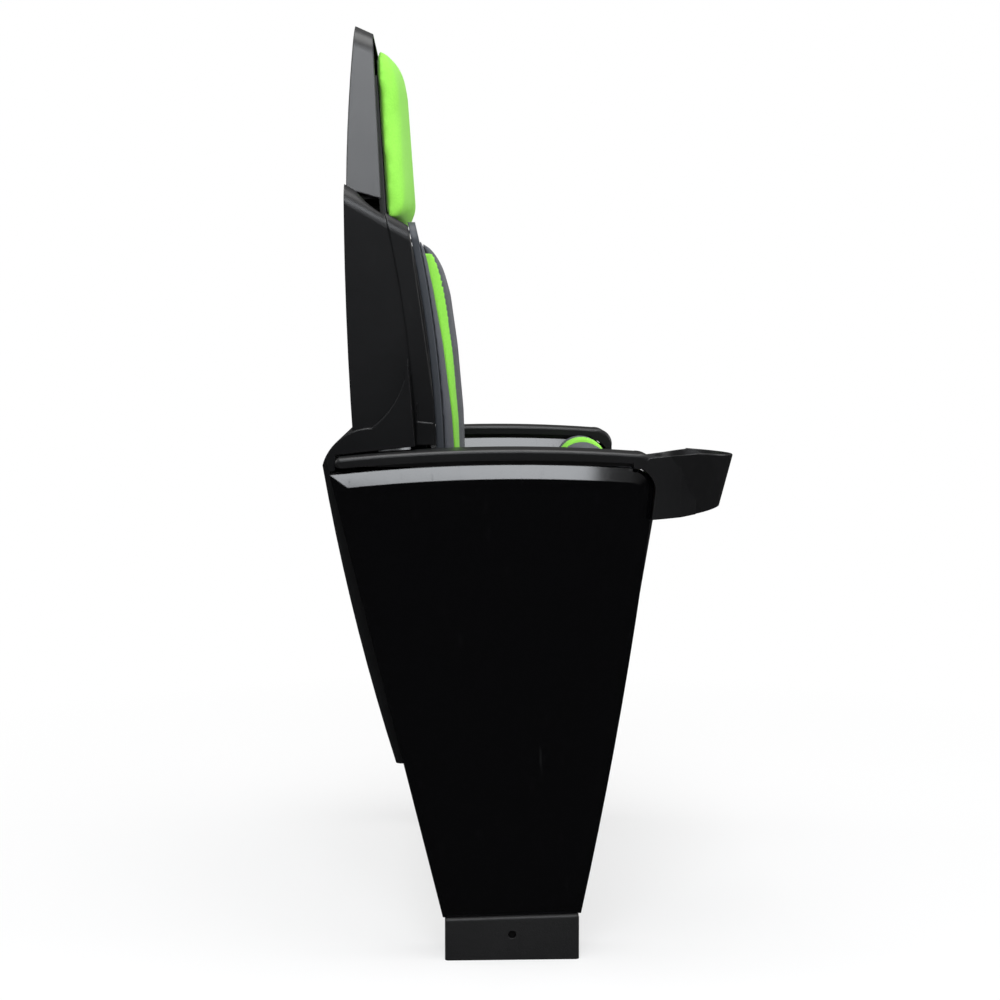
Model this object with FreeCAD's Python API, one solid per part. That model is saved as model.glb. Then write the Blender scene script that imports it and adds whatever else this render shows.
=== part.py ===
import FreeCAD, Part
import math
import os

# Tip-up auditorium chair with a high padded back, two tapered standards and one cup holder.
# Frame: -Y is the front, +X the sitter's left, +Z up, millimetres.
# The origin is on the floor, at the centre of the four anchor holes.
# The seat is drawn as it is sat on, and stored tipped up, as it stands when nobody sits in it.

V = FreeCAD.Vector

# Layout of the two standards
PITCH = 580.0                # between the centre planes of the standards
STANDARD_W = 64.0            # over the two side panels of one standard
PANEL_SEAM = 1.0             # gap between the two panels of a standard
PANEL_WALL = 3.0
BEVEL_IN = 17.0              # width of the sloping border of a side panel
BEVEL_DEEP = 6.0             # how far the border slopes back
PANEL_RIB_T = 2.0

# Feet and anchors
FOOT_LENGTH = 160.0
FOOT_IN = 1.0                # foot cover behind the face of the side panel
FOOT_REAR_H = 50.5
FOOT_FRONT_H = 54.0
FOOT_WALL = 3.0
FOOT_CORNER_R = 4.0
FOOT_SCREW_Z = 30.5
FOOT_RECESS_R = 4.8
FOOT_RECESS_DEEP = 5.0
ANCHOR_SPACING = 116.0
ANCHOR_HOLE_R = 5.5
BASE_T = 6.0
BASE_GAP = 1.5               # base plate to foot cover
SEAT_ON_GAP = 0.3            # one moulding standing on another

# Side panel outline
PANEL_REAR_Y = 214.0         # top rear corner
PANEL_REAR_DROP = 12.2
PANEL_CROWN_Y = -17.0
PANEL_FRONT_Y = -171.5       # top front corner, before it is rounded
PANEL_FRONT_DROP = 5.4
PANEL_FRONT_R = 26.0
PANEL_BELLY = 6.0            # how far the front edge bows forward
PANEL_FOOT_OVER = 2.5        # panel past the foot cover, front and rear

# Steel leg
COLUMN_Y = 60.0
COLUMN_WALL = 2.5
COLUMN_GAP = 2.0             # round the column where it passes a moulding
PLATE_T = 4.0                # hinge plate and rear arm
PLATE_GAP = 2.0              # plates to the inner panel
HINGE_PLATE_R = 18.5
REAR_ARM_Z = 505.0
REAR_ARM_H = 76.0
REAR_ARM_END_Y = 168.0
ARM_PLATE_DEPTH = 16.0       # top of the arm plate below the crown of the panel
ARM_PLATE_T = 5.0
ARM_PLATE_W = 44.0
ARM_PLATE_FRONT_Y = -112.0
ARM_PLATE_REAR_Y = 152.0
TAB_T = 3.0
TAB_SIZE = 26.0
CLAMP_LOW_Z = 115.0
CLAMP_BOSS_R = 6.5

# Armrests
ARM_H = 609.0                # crown of the armrest
ARM_CROWN_Y = -40.0
ARM_CAP_T = 12.5
ARM_CAP_OVER = 2.0           # cap past each side panel
ARM_REVEAL = 5.0             # dark groove between cap and panel
ARM_REVEAL_IN = 6.0          # depth of the groove
ARM_REAR_Y = 207.5
ARM_REAR_DROP = 10.0
ARM_UNDER_REAR_DROP = 8.8
ARM_FRONT_DROP = 5.0
ARM_BEND_Y = -148.0          # where the top turns down
ARM_NOSE_T = 8.5             # what hangs in front of the side panel
ARM_NOSE_R = 20.0
ARM_NOSE_LOW_Z = 528.0
ARM_EDGE_R = 4.0
ARM_PANEL_GAP = 1.0
ARM_SCREW_Y = (-80.0, 110.0)
ARM_BOSS_R = 7.0
ARM_TOP_SKIN = 6.0
ARM_RIB_T = 3.0

# Cup holder, part of the right armrest
CUP_Y = -214.5
CUP_TOP_R = 49.5
CUP_TOP_Z = 606.0
CUP_DRAFT = 0.19             # radius lost per millimetre of depth
CUP_TILT = 4.0               # degrees that the rim falls towards the front
CUP_WALL = 4.5
CUP_FLOOR_Z = 552.0
CUP_NOSE_Z = 544.0           # underside at the front
CUP_HEEL_Z = 527.0           # underside at the side panel
CUP_NECK_HALF = 43.0         # where the neck meets the cup
CUP_LIP_R = 1.8

# Seat hinge
PIVOT_Y = -92.0
PIVOT_Z = 296.0
SEAT_TRAVEL = 61.0           # degrees from tipped up to sitting
SHAFT_R = 8.0
RUN_FIT = 0.05               # radial running clearance
NUT_R = 13.0
NUT_T = 8.0
SPACER_R = 13.0
SPACER_HOLE_GAP = 1.2
END_PLAY = 0.3
BRACKET_X = 231.0            # outer face of the hinge bracket
BRACKET_T = 5.0
BRACKET_R = 20.0
BRACKET_FLANGE = 34.0
BRACKET_FRONT_Y = -190.0
BRACKET_REAR_Y = 22.0
BUSH_R = 12.0
STOP_PLATE_T = 5.0
STOP_PLATE_R = 34.0
STOP_RADIUS = 24.0           # stop pin from the pivot
STOP_ANGLE = 150.0           # stop pin when the seat is down, from straight back
STOP_PIN_R = 3.0
STOP_SLEEVE_R = 5.0
STOP_GAP = 0.3
SPRING_R = 12.0
SPRING_WIRE_R = 2.0
SPRING_TURNS = 4
SPRING_PITCH = 4.6
COLLAR_R = 11.0
COLLAR_T = 4.0

# Seat
SEAT_W = 484.0
SEAT_TOP_Z = 440.0
SEAT_NOSE_Y = -376.0
SEAT_REAR_Y = 50.0
SEAT_REAR_DROP = 20.0
SEAT_REAR_R = 22.0
SEAT_DISH = 7.0              # how far the middle of the seat dips
SEAT_CROWN = 5.0             # how far its centre line stands over its seams
SEAT_SEAM = 3.0              # depth of the sewn channels
SEAT_SIDE_DROP = 26.0        # drawn-in sides
SEAT_STRIPE_IN = 168.0
SEAT_STRIPE_OUT = 200.0
BOARD_T = 12.0
BOARD_TOP_Z = 362.0
BOARD_IN = 10.0              # board inside the cushion's outline
BOARD_CORNER_R = 30.0
UNDER_W = 476.0              # underside cover
UNDER_WALL = 3.0
UNDER_EDGE_R = 5.0
UNDER_FRONT_Y = -356.0
UNDER_LOW_Z = 256.0
UNDER_LOW_Y = (-130.0, -62.0)
UNDER_REAR_Z = 318.0
UNDER_RIB_T = 2.5
UNDER_RIB_X = (-120.0, 0.0, 120.0)
UNDER_RIB_TOP_Z = 338.0
UNDER_SCREW_X = 150.0
UNDER_SCREW_Y = (-240.0, 5.0)
UNDER_BOSS_R = 6.0

# Upper back shell
BACK_TOP_Z = 1132.0
BACK_TOP_REAR_Y = 190.0
BACK_BULGE_Y = 199.5         # furthest back, at shoulder height
BACK_WAIST_Y = 188.0
BACK_WAIST_Z = 600.0
HEAD_TOP_FRONT_Y = 168.0
HEAD_LOW_FRONT_Y = 154.0
HEAD_TOP_HALF = 150.0
HEAD_LOW_HALF = 195.0
HEAD_LOW_Z = 870.0
HEAD_CORNER_R = 34.0
HEAD_TOP_SLOPE = 10.0         # front of the top edge below its rear
SHOULDER_Z = 925.0
SHOULDER_FRONT_Z = 882.0
SHOULDER_HALF = 252.0
SHOULDER_R = 22.0
WAIST_HALF = 260.0
RIM_PROUD = 2.5              # band along the front edge of the sides
RIM_W = 24.0
RIM_GAP = 0.5                # shell edge to back board
SHELL_WALL = 4.0
HOLLOW_Y = 40.0              # a plane in front of the shells, where their hollows end
SHELL_EDGE_R = 9.0
ARM_CLEAR = 2.0              # shell over the armrests
SHELL_BOSS_R = 7.0
SHELL_BOSS_X = 120.0
LINK_COVER_T = 4.0

# Lower back cover
HIP_HALF = 288.0
HIP_REAR_Y = 224.5
HIP_REAR_Z = 588.0
HIP_TOP_Y = 123.0
HIP_TOP_Z = 715.0
HIP_EDGE_R = 7.0
COVER_MID_Y = 188.5
COVER_MID_Z = 412.0
COVER_END_Y = 138.5
COVER_END_Z = 230.0
COVER_FRONT_Z = 616.0
COVER_GAP = 1.5              # cover to standard
COVER_BOSS_R = 6.0
HIP_SWEEP_Y = 134.0
HIP_SWEEP_Z = 671.0
HIP_LEDGE_Y = 166.0
HIP_LEDGE_Z = 633.0
HIP_ROUND_Y = 207.0
HIP_ROUND_Z = 617.0

# Back board, a bent panel with its rim on show
BEND_Y = 88.0                # rear face at the lumbar point
BEND_Z = 556.0
BEND_R = 1490.0
BACK_BOARD_T = 9.0
BACK_BOARD_HALF = 249.0
BACK_BOARD_TOP_Z = 880.0
BACK_BOARD_LOW_Z = 432.0
BACK_BOARD_CORNER_R = 24.0
SOFT_GAP = 0.3               # between a pad and what carries it
PAD_SPARE = 2.0              # depth of a pad that is cut off on the board's curve

# Back frame of steel tube
TUBE_W = 30.0
TUBE_D = 20.0
TUBE_WALL = 2.0
UPRIGHT_X = 180.0
UPRIGHT_FOOT_Z = 470.0
UPRIGHT_TOP_Z = 872.0
TOP_BAR_Z = 796.0
BOARD_SCREW_Z = (481.0, 860.0)
SIDE_PLATE_T = 5.0
SIDE_PLATE_Y = (118.0, 172.0)
BACK_BOLT_Y = 150.0
BACK_BOLT_SPREAD = 40.0
FRAME_FLANGE_W = 30.0
FRAME_FLANGE_T = 3.0

# Back cushion in five sewn widths
CUSHION_HALF = 240.0
CUSHION_LOW_Z = 434.0
CUSHION_TOP_Z = 858.0
CUSHION_T = 20.0             # over the seams
CUSHION_CROWN = 6.0
CUSHION_LOW_ROUND = 30.0     # rounding of its lower end
CUSHION_TOP_ROUND = 60.0
CUSHION_ROUND = 20.0         # rounding of a bolster's upper end
BOLSTER_LOW_T = 18.0
BOLSTER_TOP_T = 4.0
STRIPE_TIP_X = 226.0
STRIPE_TIP_Z = 842.0
STRIPE_LOW_IN = 158.0
STRIPE_LOW_OUT = 196.0
STRIPE_TIP_W = 3.0

# Headrest
HEADREST_LOW_Z = 885.0
HEADREST_TOP_Z = 1112.0
HEADREST_LOW_HALF = 184.0
HEADREST_TOP_HALF = 136.0
HEADREST_LOW_REAR_Y = 150.0
HEADREST_TOP_REAR_Y = 166.0
HEADREST_T = 27.0
HEADREST_CROWN = 6.0
HEADREST_ROUND = 52.0
HEADREST_LOW_ROUND = 16.0
HEADREST_CORNER_R = 42.0
HEADREST_SIDE_IN = 16.0
HEADREST_SCREW_X = 90.0
HEADREST_SCREW_Z = (930.0, 1050.0)
HEADREST_BOARD_T = 8.0
HEADREST_BOARD_IN = 14.0

ROUND_STEPS = 3              # flats in a rounded moulded edge

# Fasteners
SCREW_R = 2.2
SCREW_HEAD_R = 4.2
SCREW_HEAD_T = 2.6
SCREW_PROUD = 0.5            # head over the surface it is sunk in
BOLT_R = 4.0
BOLT_HEAD_R = 7.0
BOLT_HEAD_T = 5.0

centre_x = PITCH / 2
outer_x = centre_x + STANDARD_W / 2
inner_x = centre_x - STANDARD_W / 2
plate_x = inner_x + PANEL_WALL + PLATE_GAP
column_half = centre_x - plate_x - PLATE_T
panel_top_z = ARM_H - ARM_CAP_T - ARM_REVEAL
arm_under_z = ARM_H - ARM_CAP_T
arm_plate_z = panel_top_z - ARM_PLATE_DEPTH
board_low_z = BOARD_TOP_Z - BOARD_T
foot_half = FOOT_LENGTH / 2
RIGHT = -1
LEFT = 1


# Outlines and plain solids

def at_x(x):
    return lambda y, z: V(x, y, z)


def at_y(y):
    return lambda x, z: V(x, y, z)


def at_z(z):
    return lambda x, y: V(x, y, z)


# A closed outline: a move of two numbers is a straight edge to that point,
# and one of four numbers is an arc through the first point to the second.
def outline(place, start, *moves):
    edges = []
    here = place(*start)
    for move in moves + (start,):
        there = place(*move[-2:])
        if len(move) == 4:
            edges.append(Part.Arc(here, place(*move[:2]), there).toShape())
        elif here.distanceToPoint(there) > 1e-6:
            edges.append(Part.LineSegment(here, there).toShape())
        here = there
    return Part.Wire(edges)


def prism(wire, vector):
    return Part.Face(wire).extrude(vector)


def across(x0, x1, start, *moves):
    return prism(outline(at_x(x0), start, *moves), V(x1 - x0, 0, 0))


def box(x0, x1, y0, y1, z0, z1):
    return Part.makeBox(x1 - x0, y1 - y0, z1 - z0, V(x0, y0, z0))


def rod(start, end, radius):
    along = end - start
    return Part.makeCylinder(radius, along.Length, start, along)


def x_rod(x0, x1, y, z, radius):
    return rod(V(x0, y, z), V(x1, y, z), radius)


def loft(wires, ruled=True):
    return Part.makeLoft(wires, True, ruled)


def inset(wire, distance):
    return wire.makeOffset2D(-distance, 2, False, False) if distance > 1e-6 else wire


# A block across whose two end edges are rounded in a few flats: wire_at(x, smaller)
# gives the outline at x, made smaller all round by a given amount
def soft_block(x0, x1, radius, wire_at):
    near = []
    far = []
    for step in range(ROUND_STEPS + 1):
        turn = math.pi / 2 * step / ROUND_STEPS
        along = radius * (1 - math.cos(turn))
        smaller = radius * (1 - math.sin(turn))
        near.append(wire_at(x0 + along, smaller))
        far.append(wire_at(x1 - along, smaller))
    return loft(near + far[::-1])


def mirrored(shape):
    return shape.mirror(V(0, 0, 0), V(1, 0, 0))


# Everything on one side is drawn on the sitter's left
def on_side(shape, side):
    return shape if side == LEFT else mirrored(shape)


def tipped(shape):
    turned = shape.copy()
    turned.rotate(V(0, PIVOT_Y, PIVOT_Z), V(1, 0, 0), -SEAT_TRAVEL)
    return turned


def rounded(shape, radius, wanted):
    edges = [edge for edge in shape.Edges if wanted(edge.BoundBox, edge.CenterOfMass)]
    return shape.makeFillet(radius, edges)


def save(name, shape):
    solids = shape.Solids
    whole = solids[0] if len(solids) == 1 else Part.makeCompound(solids)
    whole.exportStep("parts/" + name + ".step")


def screw(start, direction, length):
    axis = V(*direction)
    head = Part.makeCylinder(SCREW_HEAD_R, SCREW_HEAD_T, start, axis)
    return head.fuse(Part.makeCylinder(SCREW_R, length, start, axis))


# Holes and head recesses for a set of screws
def drilled(shape, screws):
    return shape.cut(Part.makeCompound(screws))


def bolt(start, direction, length):
    axis = V(*direction)
    head = Part.makeCylinder(BOLT_HEAD_R, BOLT_HEAD_T, start, axis)
    return head.fuse(Part.makeCylinder(BOLT_R, length, start, axis))


# Side panels of a standard

def foot_top_z(y):
    return FOOT_REAR_H + (FOOT_FRONT_H - FOOT_REAR_H) * (foot_half - y) / FOOT_LENGTH


# Outline of a side panel: straight rear edge, crowned top, one rounded corner, bowed front
def panel_wire(x):
    low_y = foot_half + PANEL_FOOT_OVER
    rear_low = (low_y, foot_top_z(low_y) + SEAT_ON_GAP)
    front_low = (-low_y, foot_top_z(-low_y) + SEAT_ON_GAP)
    rear_top = (PANEL_REAR_Y, panel_top_z - PANEL_REAR_DROP)
    corner = V(PANEL_FRONT_Y, panel_top_z - PANEL_FRONT_DROP, 0)
    back = (V(PANEL_CROWN_Y, panel_top_z - PANEL_FRONT_DROP / 3, 0) - corner).normalize()
    down = (V(front_low[0], front_low[1], 0) - corner).normalize()
    half_turn = back.getAngle(down) / 2
    reach = PANEL_FRONT_R / math.tan(half_turn)
    start = corner + back * reach
    end = corner + down * reach
    inward = (back + down).normalize()
    middle = corner + inward * (PANEL_FRONT_R / math.sin(half_turn) - PANEL_FRONT_R)
    mid_front = ((end.x + front_low[0]) / 2 - PANEL_BELLY, (end.y + front_low[1]) / 2)
    return outline(at_x(x), front_low, rear_low, rear_top,
                   (PANEL_CROWN_Y, panel_top_z, start.x, start.y),
                   (middle.x, middle.y, end.x, end.y),
                   mid_front + front_low)


# A dished half shell whose face has a sloping border; outward is +1 or -1
def panel_block(seam_x, face_x, outward, smaller):
    edge = inset(panel_wire(seam_x), smaller)
    side_depth = abs(face_x - seam_x) - BEVEL_DEEP
    sides = prism(edge, V(outward * side_depth, 0, 0))
    border = edge.copy()
    border.translate(V(outward * side_depth, 0, 0))
    face = inset(edge, BEVEL_IN)
    face.translate(V(outward * (side_depth + BEVEL_DEEP), 0, 0))
    return sides.fuse(loft([border, face]))


def clamp_points():
    low_y = COLUMN_Y / 2 + TAB_SIZE / 2
    high_z = arm_plate_z - ARM_PLATE_T - TAB_SIZE / 2
    return ((-low_y, CLAMP_LOW_Z), (low_y, CLAMP_LOW_Z),
            (ARM_PLATE_FRONT_Y + TAB_SIZE / 2, high_z), (ARM_PLATE_REAR_Y - TAB_SIZE / 2, high_z))


def back_bolt_points():
    half = BACK_BOLT_SPREAD / 2
    return ((BACK_BOLT_Y, REAR_ARM_Z - half), (BACK_BOLT_Y, REAR_ARM_Z + half))


def side_panel(outward):
    seam_x = centre_x + outward * PANEL_SEAM / 2
    face_x = outer_x if outward > 0 else inner_x
    inside_x = face_x - outward * PANEL_WALL
    cavity = panel_block(seam_x, inside_x, outward, PANEL_WALL)
    shell = panel_block(seam_x, face_x, outward, 0).cut(cavity)
    extra = []
    tab_x = centre_x + outward * TAB_T / 2
    for y, z in clamp_points():
        extra.append(x_rod(tab_x, inside_x, y, z, CLAMP_BOSS_R))
    rib_x = inside_x - outward * PLATE_GAP
    low, high = sorted((rib_x, inside_x))
    for z in (180.0, 250.0, 400.0):
        rib = box(low, high, -300.0, 300.0, z, z + PANEL_RIB_T)
        extra.append(rib.common(cavity))
    shell = shell.multiFuse(extra)
    cuts = []
    column_room = column_half + COLUMN_GAP
    column_y = COLUMN_Y / 2 + COLUMN_GAP
    cuts.append(box(centre_x - column_room, centre_x + column_room, -column_y, column_y,
                    0.0, FOOT_FRONT_H + 3 * PANEL_WALL))
    for y in ARM_SCREW_Y:
        top = V(centre_x, y, ARM_H)
        cuts.append(rod(V(centre_x, y, arm_plate_z), top, ARM_BOSS_R + ARM_PANEL_GAP))
    if outward > 0:
        for y, z in clamp_points():
            cuts.append(x_rod(centre_x, inside_x - PANEL_WALL, y, z, SCREW_R))
    else:
        pads = [x_rod(inside_x, plate_x, y, z, BOLT_HEAD_R + 3) for y, z in back_bolt_points()]
        shell = shell.multiFuse(pads)
        for y, z in clamp_points():
            cuts.append(x_rod(face_x, centre_x, y, z, SCREW_R + RUN_FIT))
            cuts.append(x_rod(face_x, face_x + SCREW_HEAD_T, y, z, SCREW_HEAD_R + RUN_FIT))
        for y, z in back_bolt_points():
            cuts.append(x_rod(face_x - 1, plate_x, y, z, BOLT_R + RUN_FIT))
        cuts.append(x_rod(face_x - 1, plate_x, PIVOT_Y, PIVOT_Z, SPACER_R + SPACER_HOLE_GAP))
    return shell.cut(Part.makeCompound(cuts))


# Foot cover: a box open below, with a recessed screw in each side
def foot_cover():
    outside = centre_x - STANDARD_W / 2 + FOOT_IN
    far = 2 * centre_x - outside
    cover = across(outside, far, (foot_half, 0.0), (foot_half, FOOT_REAR_H),
                   (-foot_half, FOOT_FRONT_H), (-foot_half, 0.0))
    cover = rounded(cover, FOOT_CORNER_R, lambda bounds, centre: bounds.ZMax > FOOT_WALL)
    inner = foot_half - FOOT_WALL
    cover = cover.cut(across(outside + FOOT_WALL, far - FOOT_WALL, (inner, 0.0),
                             (inner, foot_top_z(inner) - FOOT_WALL),
                             (-inner, foot_top_z(-inner) - FOOT_WALL), (-inner, 0.0)))
    for side_x, column_x in ((outside, centre_x - column_half), (far, centre_x + column_half)):
        cover = cover.fuse(x_rod(side_x, column_x, 0.0, FOOT_SCREW_Z, FOOT_RECESS_R + FOOT_WALL))
        inward = 1 if column_x > side_x else -1
        cover = cover.cut(x_rod(side_x, side_x + inward * FOOT_RECESS_DEEP, 0.0, FOOT_SCREW_Z,
                                FOOT_RECESS_R))
        cover = cover.cut(x_rod(side_x, column_x, 0.0, FOOT_SCREW_Z, SCREW_R + RUN_FIT))
    room = column_half + COLUMN_GAP
    opening = box(centre_x - room, centre_x + room, -COLUMN_Y / 2 - COLUMN_GAP,
                  COLUMN_Y / 2 + COLUMN_GAP, FOOT_REAR_H - 2 * FOOT_WALL, FOOT_FRONT_H + 1)
    return cover.cut(opening)


def foot_screws():
    inside = centre_x - STANDARD_W / 2 + FOOT_IN + FOOT_RECESS_DEEP - SCREW_HEAD_T
    length = centre_x - column_half + COLUMN_WALL + 2 - inside
    near = screw(V(inside, 0, FOOT_SCREW_Z), (1, 0, 0), length)
    far = screw(V(2 * centre_x - inside, 0, FOOT_SCREW_Z), (-1, 0, 0), length)
    return [near, far]


# Steel leg: base plate, square column, hinge plate, rear arm, arm plate and clamp tabs
def leg_frame():
    base_x = STANDARD_W / 2 - FOOT_IN - FOOT_WALL - BASE_GAP
    base_y = foot_half - FOOT_WALL - BASE_GAP
    base = box(centre_x - base_x, centre_x + base_x, -base_y, base_y, 0.0, BASE_T)
    for y in (-ANCHOR_SPACING / 2, ANCHOR_SPACING / 2):
        base = base.cut(rod(V(centre_x, y, 0), V(centre_x, y, BASE_T), ANCHOR_HOLE_R))
    column_top = arm_plate_z - ARM_PLATE_T
    half_y = COLUMN_Y / 2
    column = box(centre_x - column_half, centre_x + column_half, -half_y, half_y,
                 BASE_T, column_top)
    column = column.cut(box(centre_x - column_half + COLUMN_WALL,
                            centre_x + column_half - COLUMN_WALL,
                            -half_y + COLUMN_WALL, half_y - COLUMN_WALL, BASE_T, column_top))
    for x in (centre_x - column_half, centre_x + column_half):
        column = column.cut(x_rod(x - COLUMN_WALL, x + COLUMN_WALL, 0.0, FOOT_SCREW_Z,
                                  SCREW_R))
    side_x = plate_x + PLATE_T
    hinge = across(plate_x, side_x, (half_y, PIVOT_Z + 60.0), (-half_y, PIVOT_Z + 60.0),
                   (PIVOT_Y, PIVOT_Z + HINGE_PLATE_R),
                   (PIVOT_Y - HINGE_PLATE_R, PIVOT_Z, PIVOT_Y, PIVOT_Z - HINGE_PLATE_R),
                   (-half_y, PIVOT_Z - 60.0), (half_y, PIVOT_Z - 60.0))
    hinge = hinge.cut(x_rod(plate_x, side_x, PIVOT_Y, PIVOT_Z, SHAFT_R + RUN_FIT))
    low_z = REAR_ARM_Z - REAR_ARM_H / 2
    high_z = REAR_ARM_Z + REAR_ARM_H / 2
    arm = across(plate_x, side_x, (-half_y, low_z - 30.0), (half_y, low_z - 30.0),
                 (BACK_BOLT_Y - 20.0, low_z), (REAR_ARM_END_Y, low_z),
                 (REAR_ARM_END_Y, high_z), (-half_y, high_z))
    for y, z in back_bolt_points():
        arm = arm.cut(x_rod(plate_x, side_x, y, z, BOLT_R + RUN_FIT))
    half_w = ARM_PLATE_W / 2
    top = box(centre_x - half_w, centre_x + half_w, ARM_PLATE_FRONT_Y, ARM_PLATE_REAR_Y,
              column_top, arm_plate_z)
    for y in ARM_SCREW_Y:
        top = top.cut(rod(V(centre_x, y, column_top), V(centre_x, y, arm_plate_z),
                          SCREW_R + RUN_FIT))
    tabs = []
    for y, z in clamp_points():
        reach = TAB_SIZE / 2
        tab = box(centre_x - TAB_T / 2, centre_x + TAB_T / 2, y - reach, y + reach,
                  z - reach, z + reach)
        tabs.append(tab.cut(x_rod(centre_x - TAB_T, centre_x + TAB_T, y, z, SCREW_R + RUN_FIT)))
    return base.multiFuse([column, hinge, arm, top] + tabs)


def panel_screws():
    length = centre_x + STANDARD_W / 4 - inner_x
    return [screw(V(inner_x, y, z), (1, 0, 0), length) for y, z in clamp_points()]


# Armrest: a capping that overhangs the panels and turns down over their front corner
def arm_top_z(y):
    rise = ARM_REAR_DROP / (ARM_REAR_Y - ARM_CROWN_Y) ** 2
    return ARM_H - rise * (y - ARM_CROWN_Y) ** 2


def arm_wire(x, smaller):
    rear_y = ARM_REAR_Y - smaller
    rear_top = (rear_y - 5.0, arm_top_z(ARM_REAR_Y - 5.0) - smaller)
    rear_low = (rear_y - 4.0, arm_under_z - ARM_UNDER_REAR_DROP)
    rear_mid = (rear_y, (rear_top[1] + rear_low[1]) / 2)
    bend = (ARM_BEND_Y, ARM_H - ARM_FRONT_DROP - smaller)
    nose_y = PANEL_FRONT_Y + 7.0 - ARM_NOSE_T + smaller
    nose_high = (nose_y, bend[1] - ARM_NOSE_R * 1.3)
    turn = (nose_y + ARM_NOSE_R * 0.24, bend[1] - ARM_NOSE_R * 0.42)
    under_front = (ARM_BEND_Y + 6.0, arm_under_z - 4.0)
    return outline(at_x(x), rear_low, rear_mid + rear_top, (ARM_CROWN_Y, ARM_H - smaller) + bend,
                   turn + nose_high, (nose_y, ARM_NOSE_LOW_Z),
                   (PANEL_FRONT_Y + 20.0, ARM_NOSE_LOW_Z), under_front,
                   (PANEL_CROWN_Y, arm_under_z) + rear_low)


def armrest_body():
    half = STANDARD_W / 2 + ARM_CAP_OVER
    return soft_block(centre_x - half, centre_x + half, ARM_EDGE_R, arm_wire)


def armrest(with_cup):
    body = armrest_body()
    if with_cup:
        body = body.fuse(cup_outside())
    half = STANDARD_W / 2 - ARM_REVEAL_IN
    stem = across(centre_x - half, centre_x + half, (ARM_REAR_Y - 10.0, ARM_H - 20.0),
                  (ARM_BEND_Y, ARM_H - 20.0), (ARM_BEND_Y, ARM_H - ARM_CAP_T / 2 - 6.0),
                  (ARM_REAR_Y - 10.0, ARM_H - ARM_CAP_T - 2.0))
    body = body.fuse(stem)
    standard = Part.Face(panel_wire(centre_x - STANDARD_W)).extrude(V(2 * STANDARD_W, 0, 0))
    grown = panel_wire(centre_x - STANDARD_W).makeOffset2D(ARM_PANEL_GAP, 2, False, False)
    ahead = box(centre_x - STANDARD_W, centre_x + STANDARD_W, -400.0, ARM_BEND_Y,
                0.0, ARM_H)
    body = body.cut(prism(grown, V(2 * STANDARD_W, 0, 0)).common(ahead)).cut(standard)
    pockets = []
    bosses = []
    skin_z = ARM_H - ARM_TOP_SKIN - 4.0
    edges = (-124.0,) + ARM_SCREW_Y + (150.0,)
    for start, end in zip(edges[:-1], edges[1:]):
        gap = ARM_BOSS_R + ARM_RIB_T
        pockets.append(box(centre_x - half + ARM_RIB_T, centre_x + half - ARM_RIB_T,
                           start + gap, end - gap, arm_plate_z, skin_z))
    for y in ARM_SCREW_Y:
        boss = rod(V(centre_x, y, arm_plate_z), V(centre_x, y, panel_top_z + 3), ARM_BOSS_R)
        bosses.append(boss)
    body = body.cut(Part.makeCompound(pockets)).multiFuse(bosses)
    for y in ARM_SCREW_Y:
        body = body.cut(rod(V(centre_x, y, arm_plate_z), V(centre_x, y, skin_z), SCREW_R))
    if with_cup:
        body = body.cut(cup_inside())
    return body


def cup_cone(smaller, low_z, high_z):
    low_r = CUP_TOP_R - smaller - CUP_DRAFT * (CUP_TOP_Z - low_z)
    high_r = CUP_TOP_R - smaller + CUP_DRAFT * (high_z - CUP_TOP_Z)
    cone = Part.makeCone(low_r, high_r, high_z - low_z, V(centre_x, CUP_Y, low_z))
    cone.rotate(V(centre_x, CUP_Y, CUP_TOP_Z), V(1, 0, 0), CUP_TILT)
    return cone


# Tapered cup with a neck as wide as the armrest, both cut off by one sloping underside
def cup_outside():
    half = STANDARD_W / 2 + ARM_CAP_OVER
    cup = cup_cone(0.0, CUP_HEEL_Z - 10.0, CUP_TOP_Z)
    cup = rounded(cup, CUP_LIP_R, lambda bounds, centre: centre.z > CUP_TOP_Z - 5)
    neck_y = CUP_Y + 24.0
    start_y = ARM_BEND_Y - 8.0
    right = (centre_x + half, start_y)
    plan = outline(at_z(CUP_HEEL_Z - 10.0), right,
                   (centre_x + half + 2.0, start_y - 18.0, centre_x + CUP_NECK_HALF, neck_y - 6.0),
                   (centre_x + CUP_NECK_HALF - 4.0, CUP_Y), (centre_x - CUP_NECK_HALF + 4.0, CUP_Y),
                   (centre_x - CUP_NECK_HALF, neck_y - 6.0),
                   (centre_x - half - 2.0, start_y - 18.0, centre_x - half, start_y))
    neck = prism(plan, V(0, 0, 90.0))
    whole = cup.fuse(neck)
    rim_front = (CUP_Y - CUP_TOP_R - 10.0, CUP_TOP_Z + 20.0)
    envelope = across(centre_x - 90.0, centre_x + 90.0, rim_front,
                      (CUP_Y, CUP_TOP_Z + 20.0), (CUP_Y, CUP_TOP_Z - 1.0),
                      (ARM_BEND_Y - 14.0, ARM_H - ARM_FRONT_DROP - 5.0),
                      (ARM_BEND_Y - 8.0, ARM_H - 14.0), (ARM_BEND_Y - 8.0, CUP_HEEL_Z - 1.5),
                      (CUP_Y + 10.0, CUP_HEEL_Z + 4.5, CUP_Y - CUP_TOP_R, CUP_NOSE_Z + 2.0))
    return whole.common(envelope)


def cup_inside():
    return cup_cone(CUP_WALL, CUP_FLOOR_Z, CUP_TOP_Z + 12.0)


def armrest_screws():
    start = arm_plate_z - ARM_PLATE_T - SCREW_HEAD_T
    return [screw(V(centre_x, y, start), (0, 0, 1), 20.0) for y in ARM_SCREW_Y]


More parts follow.
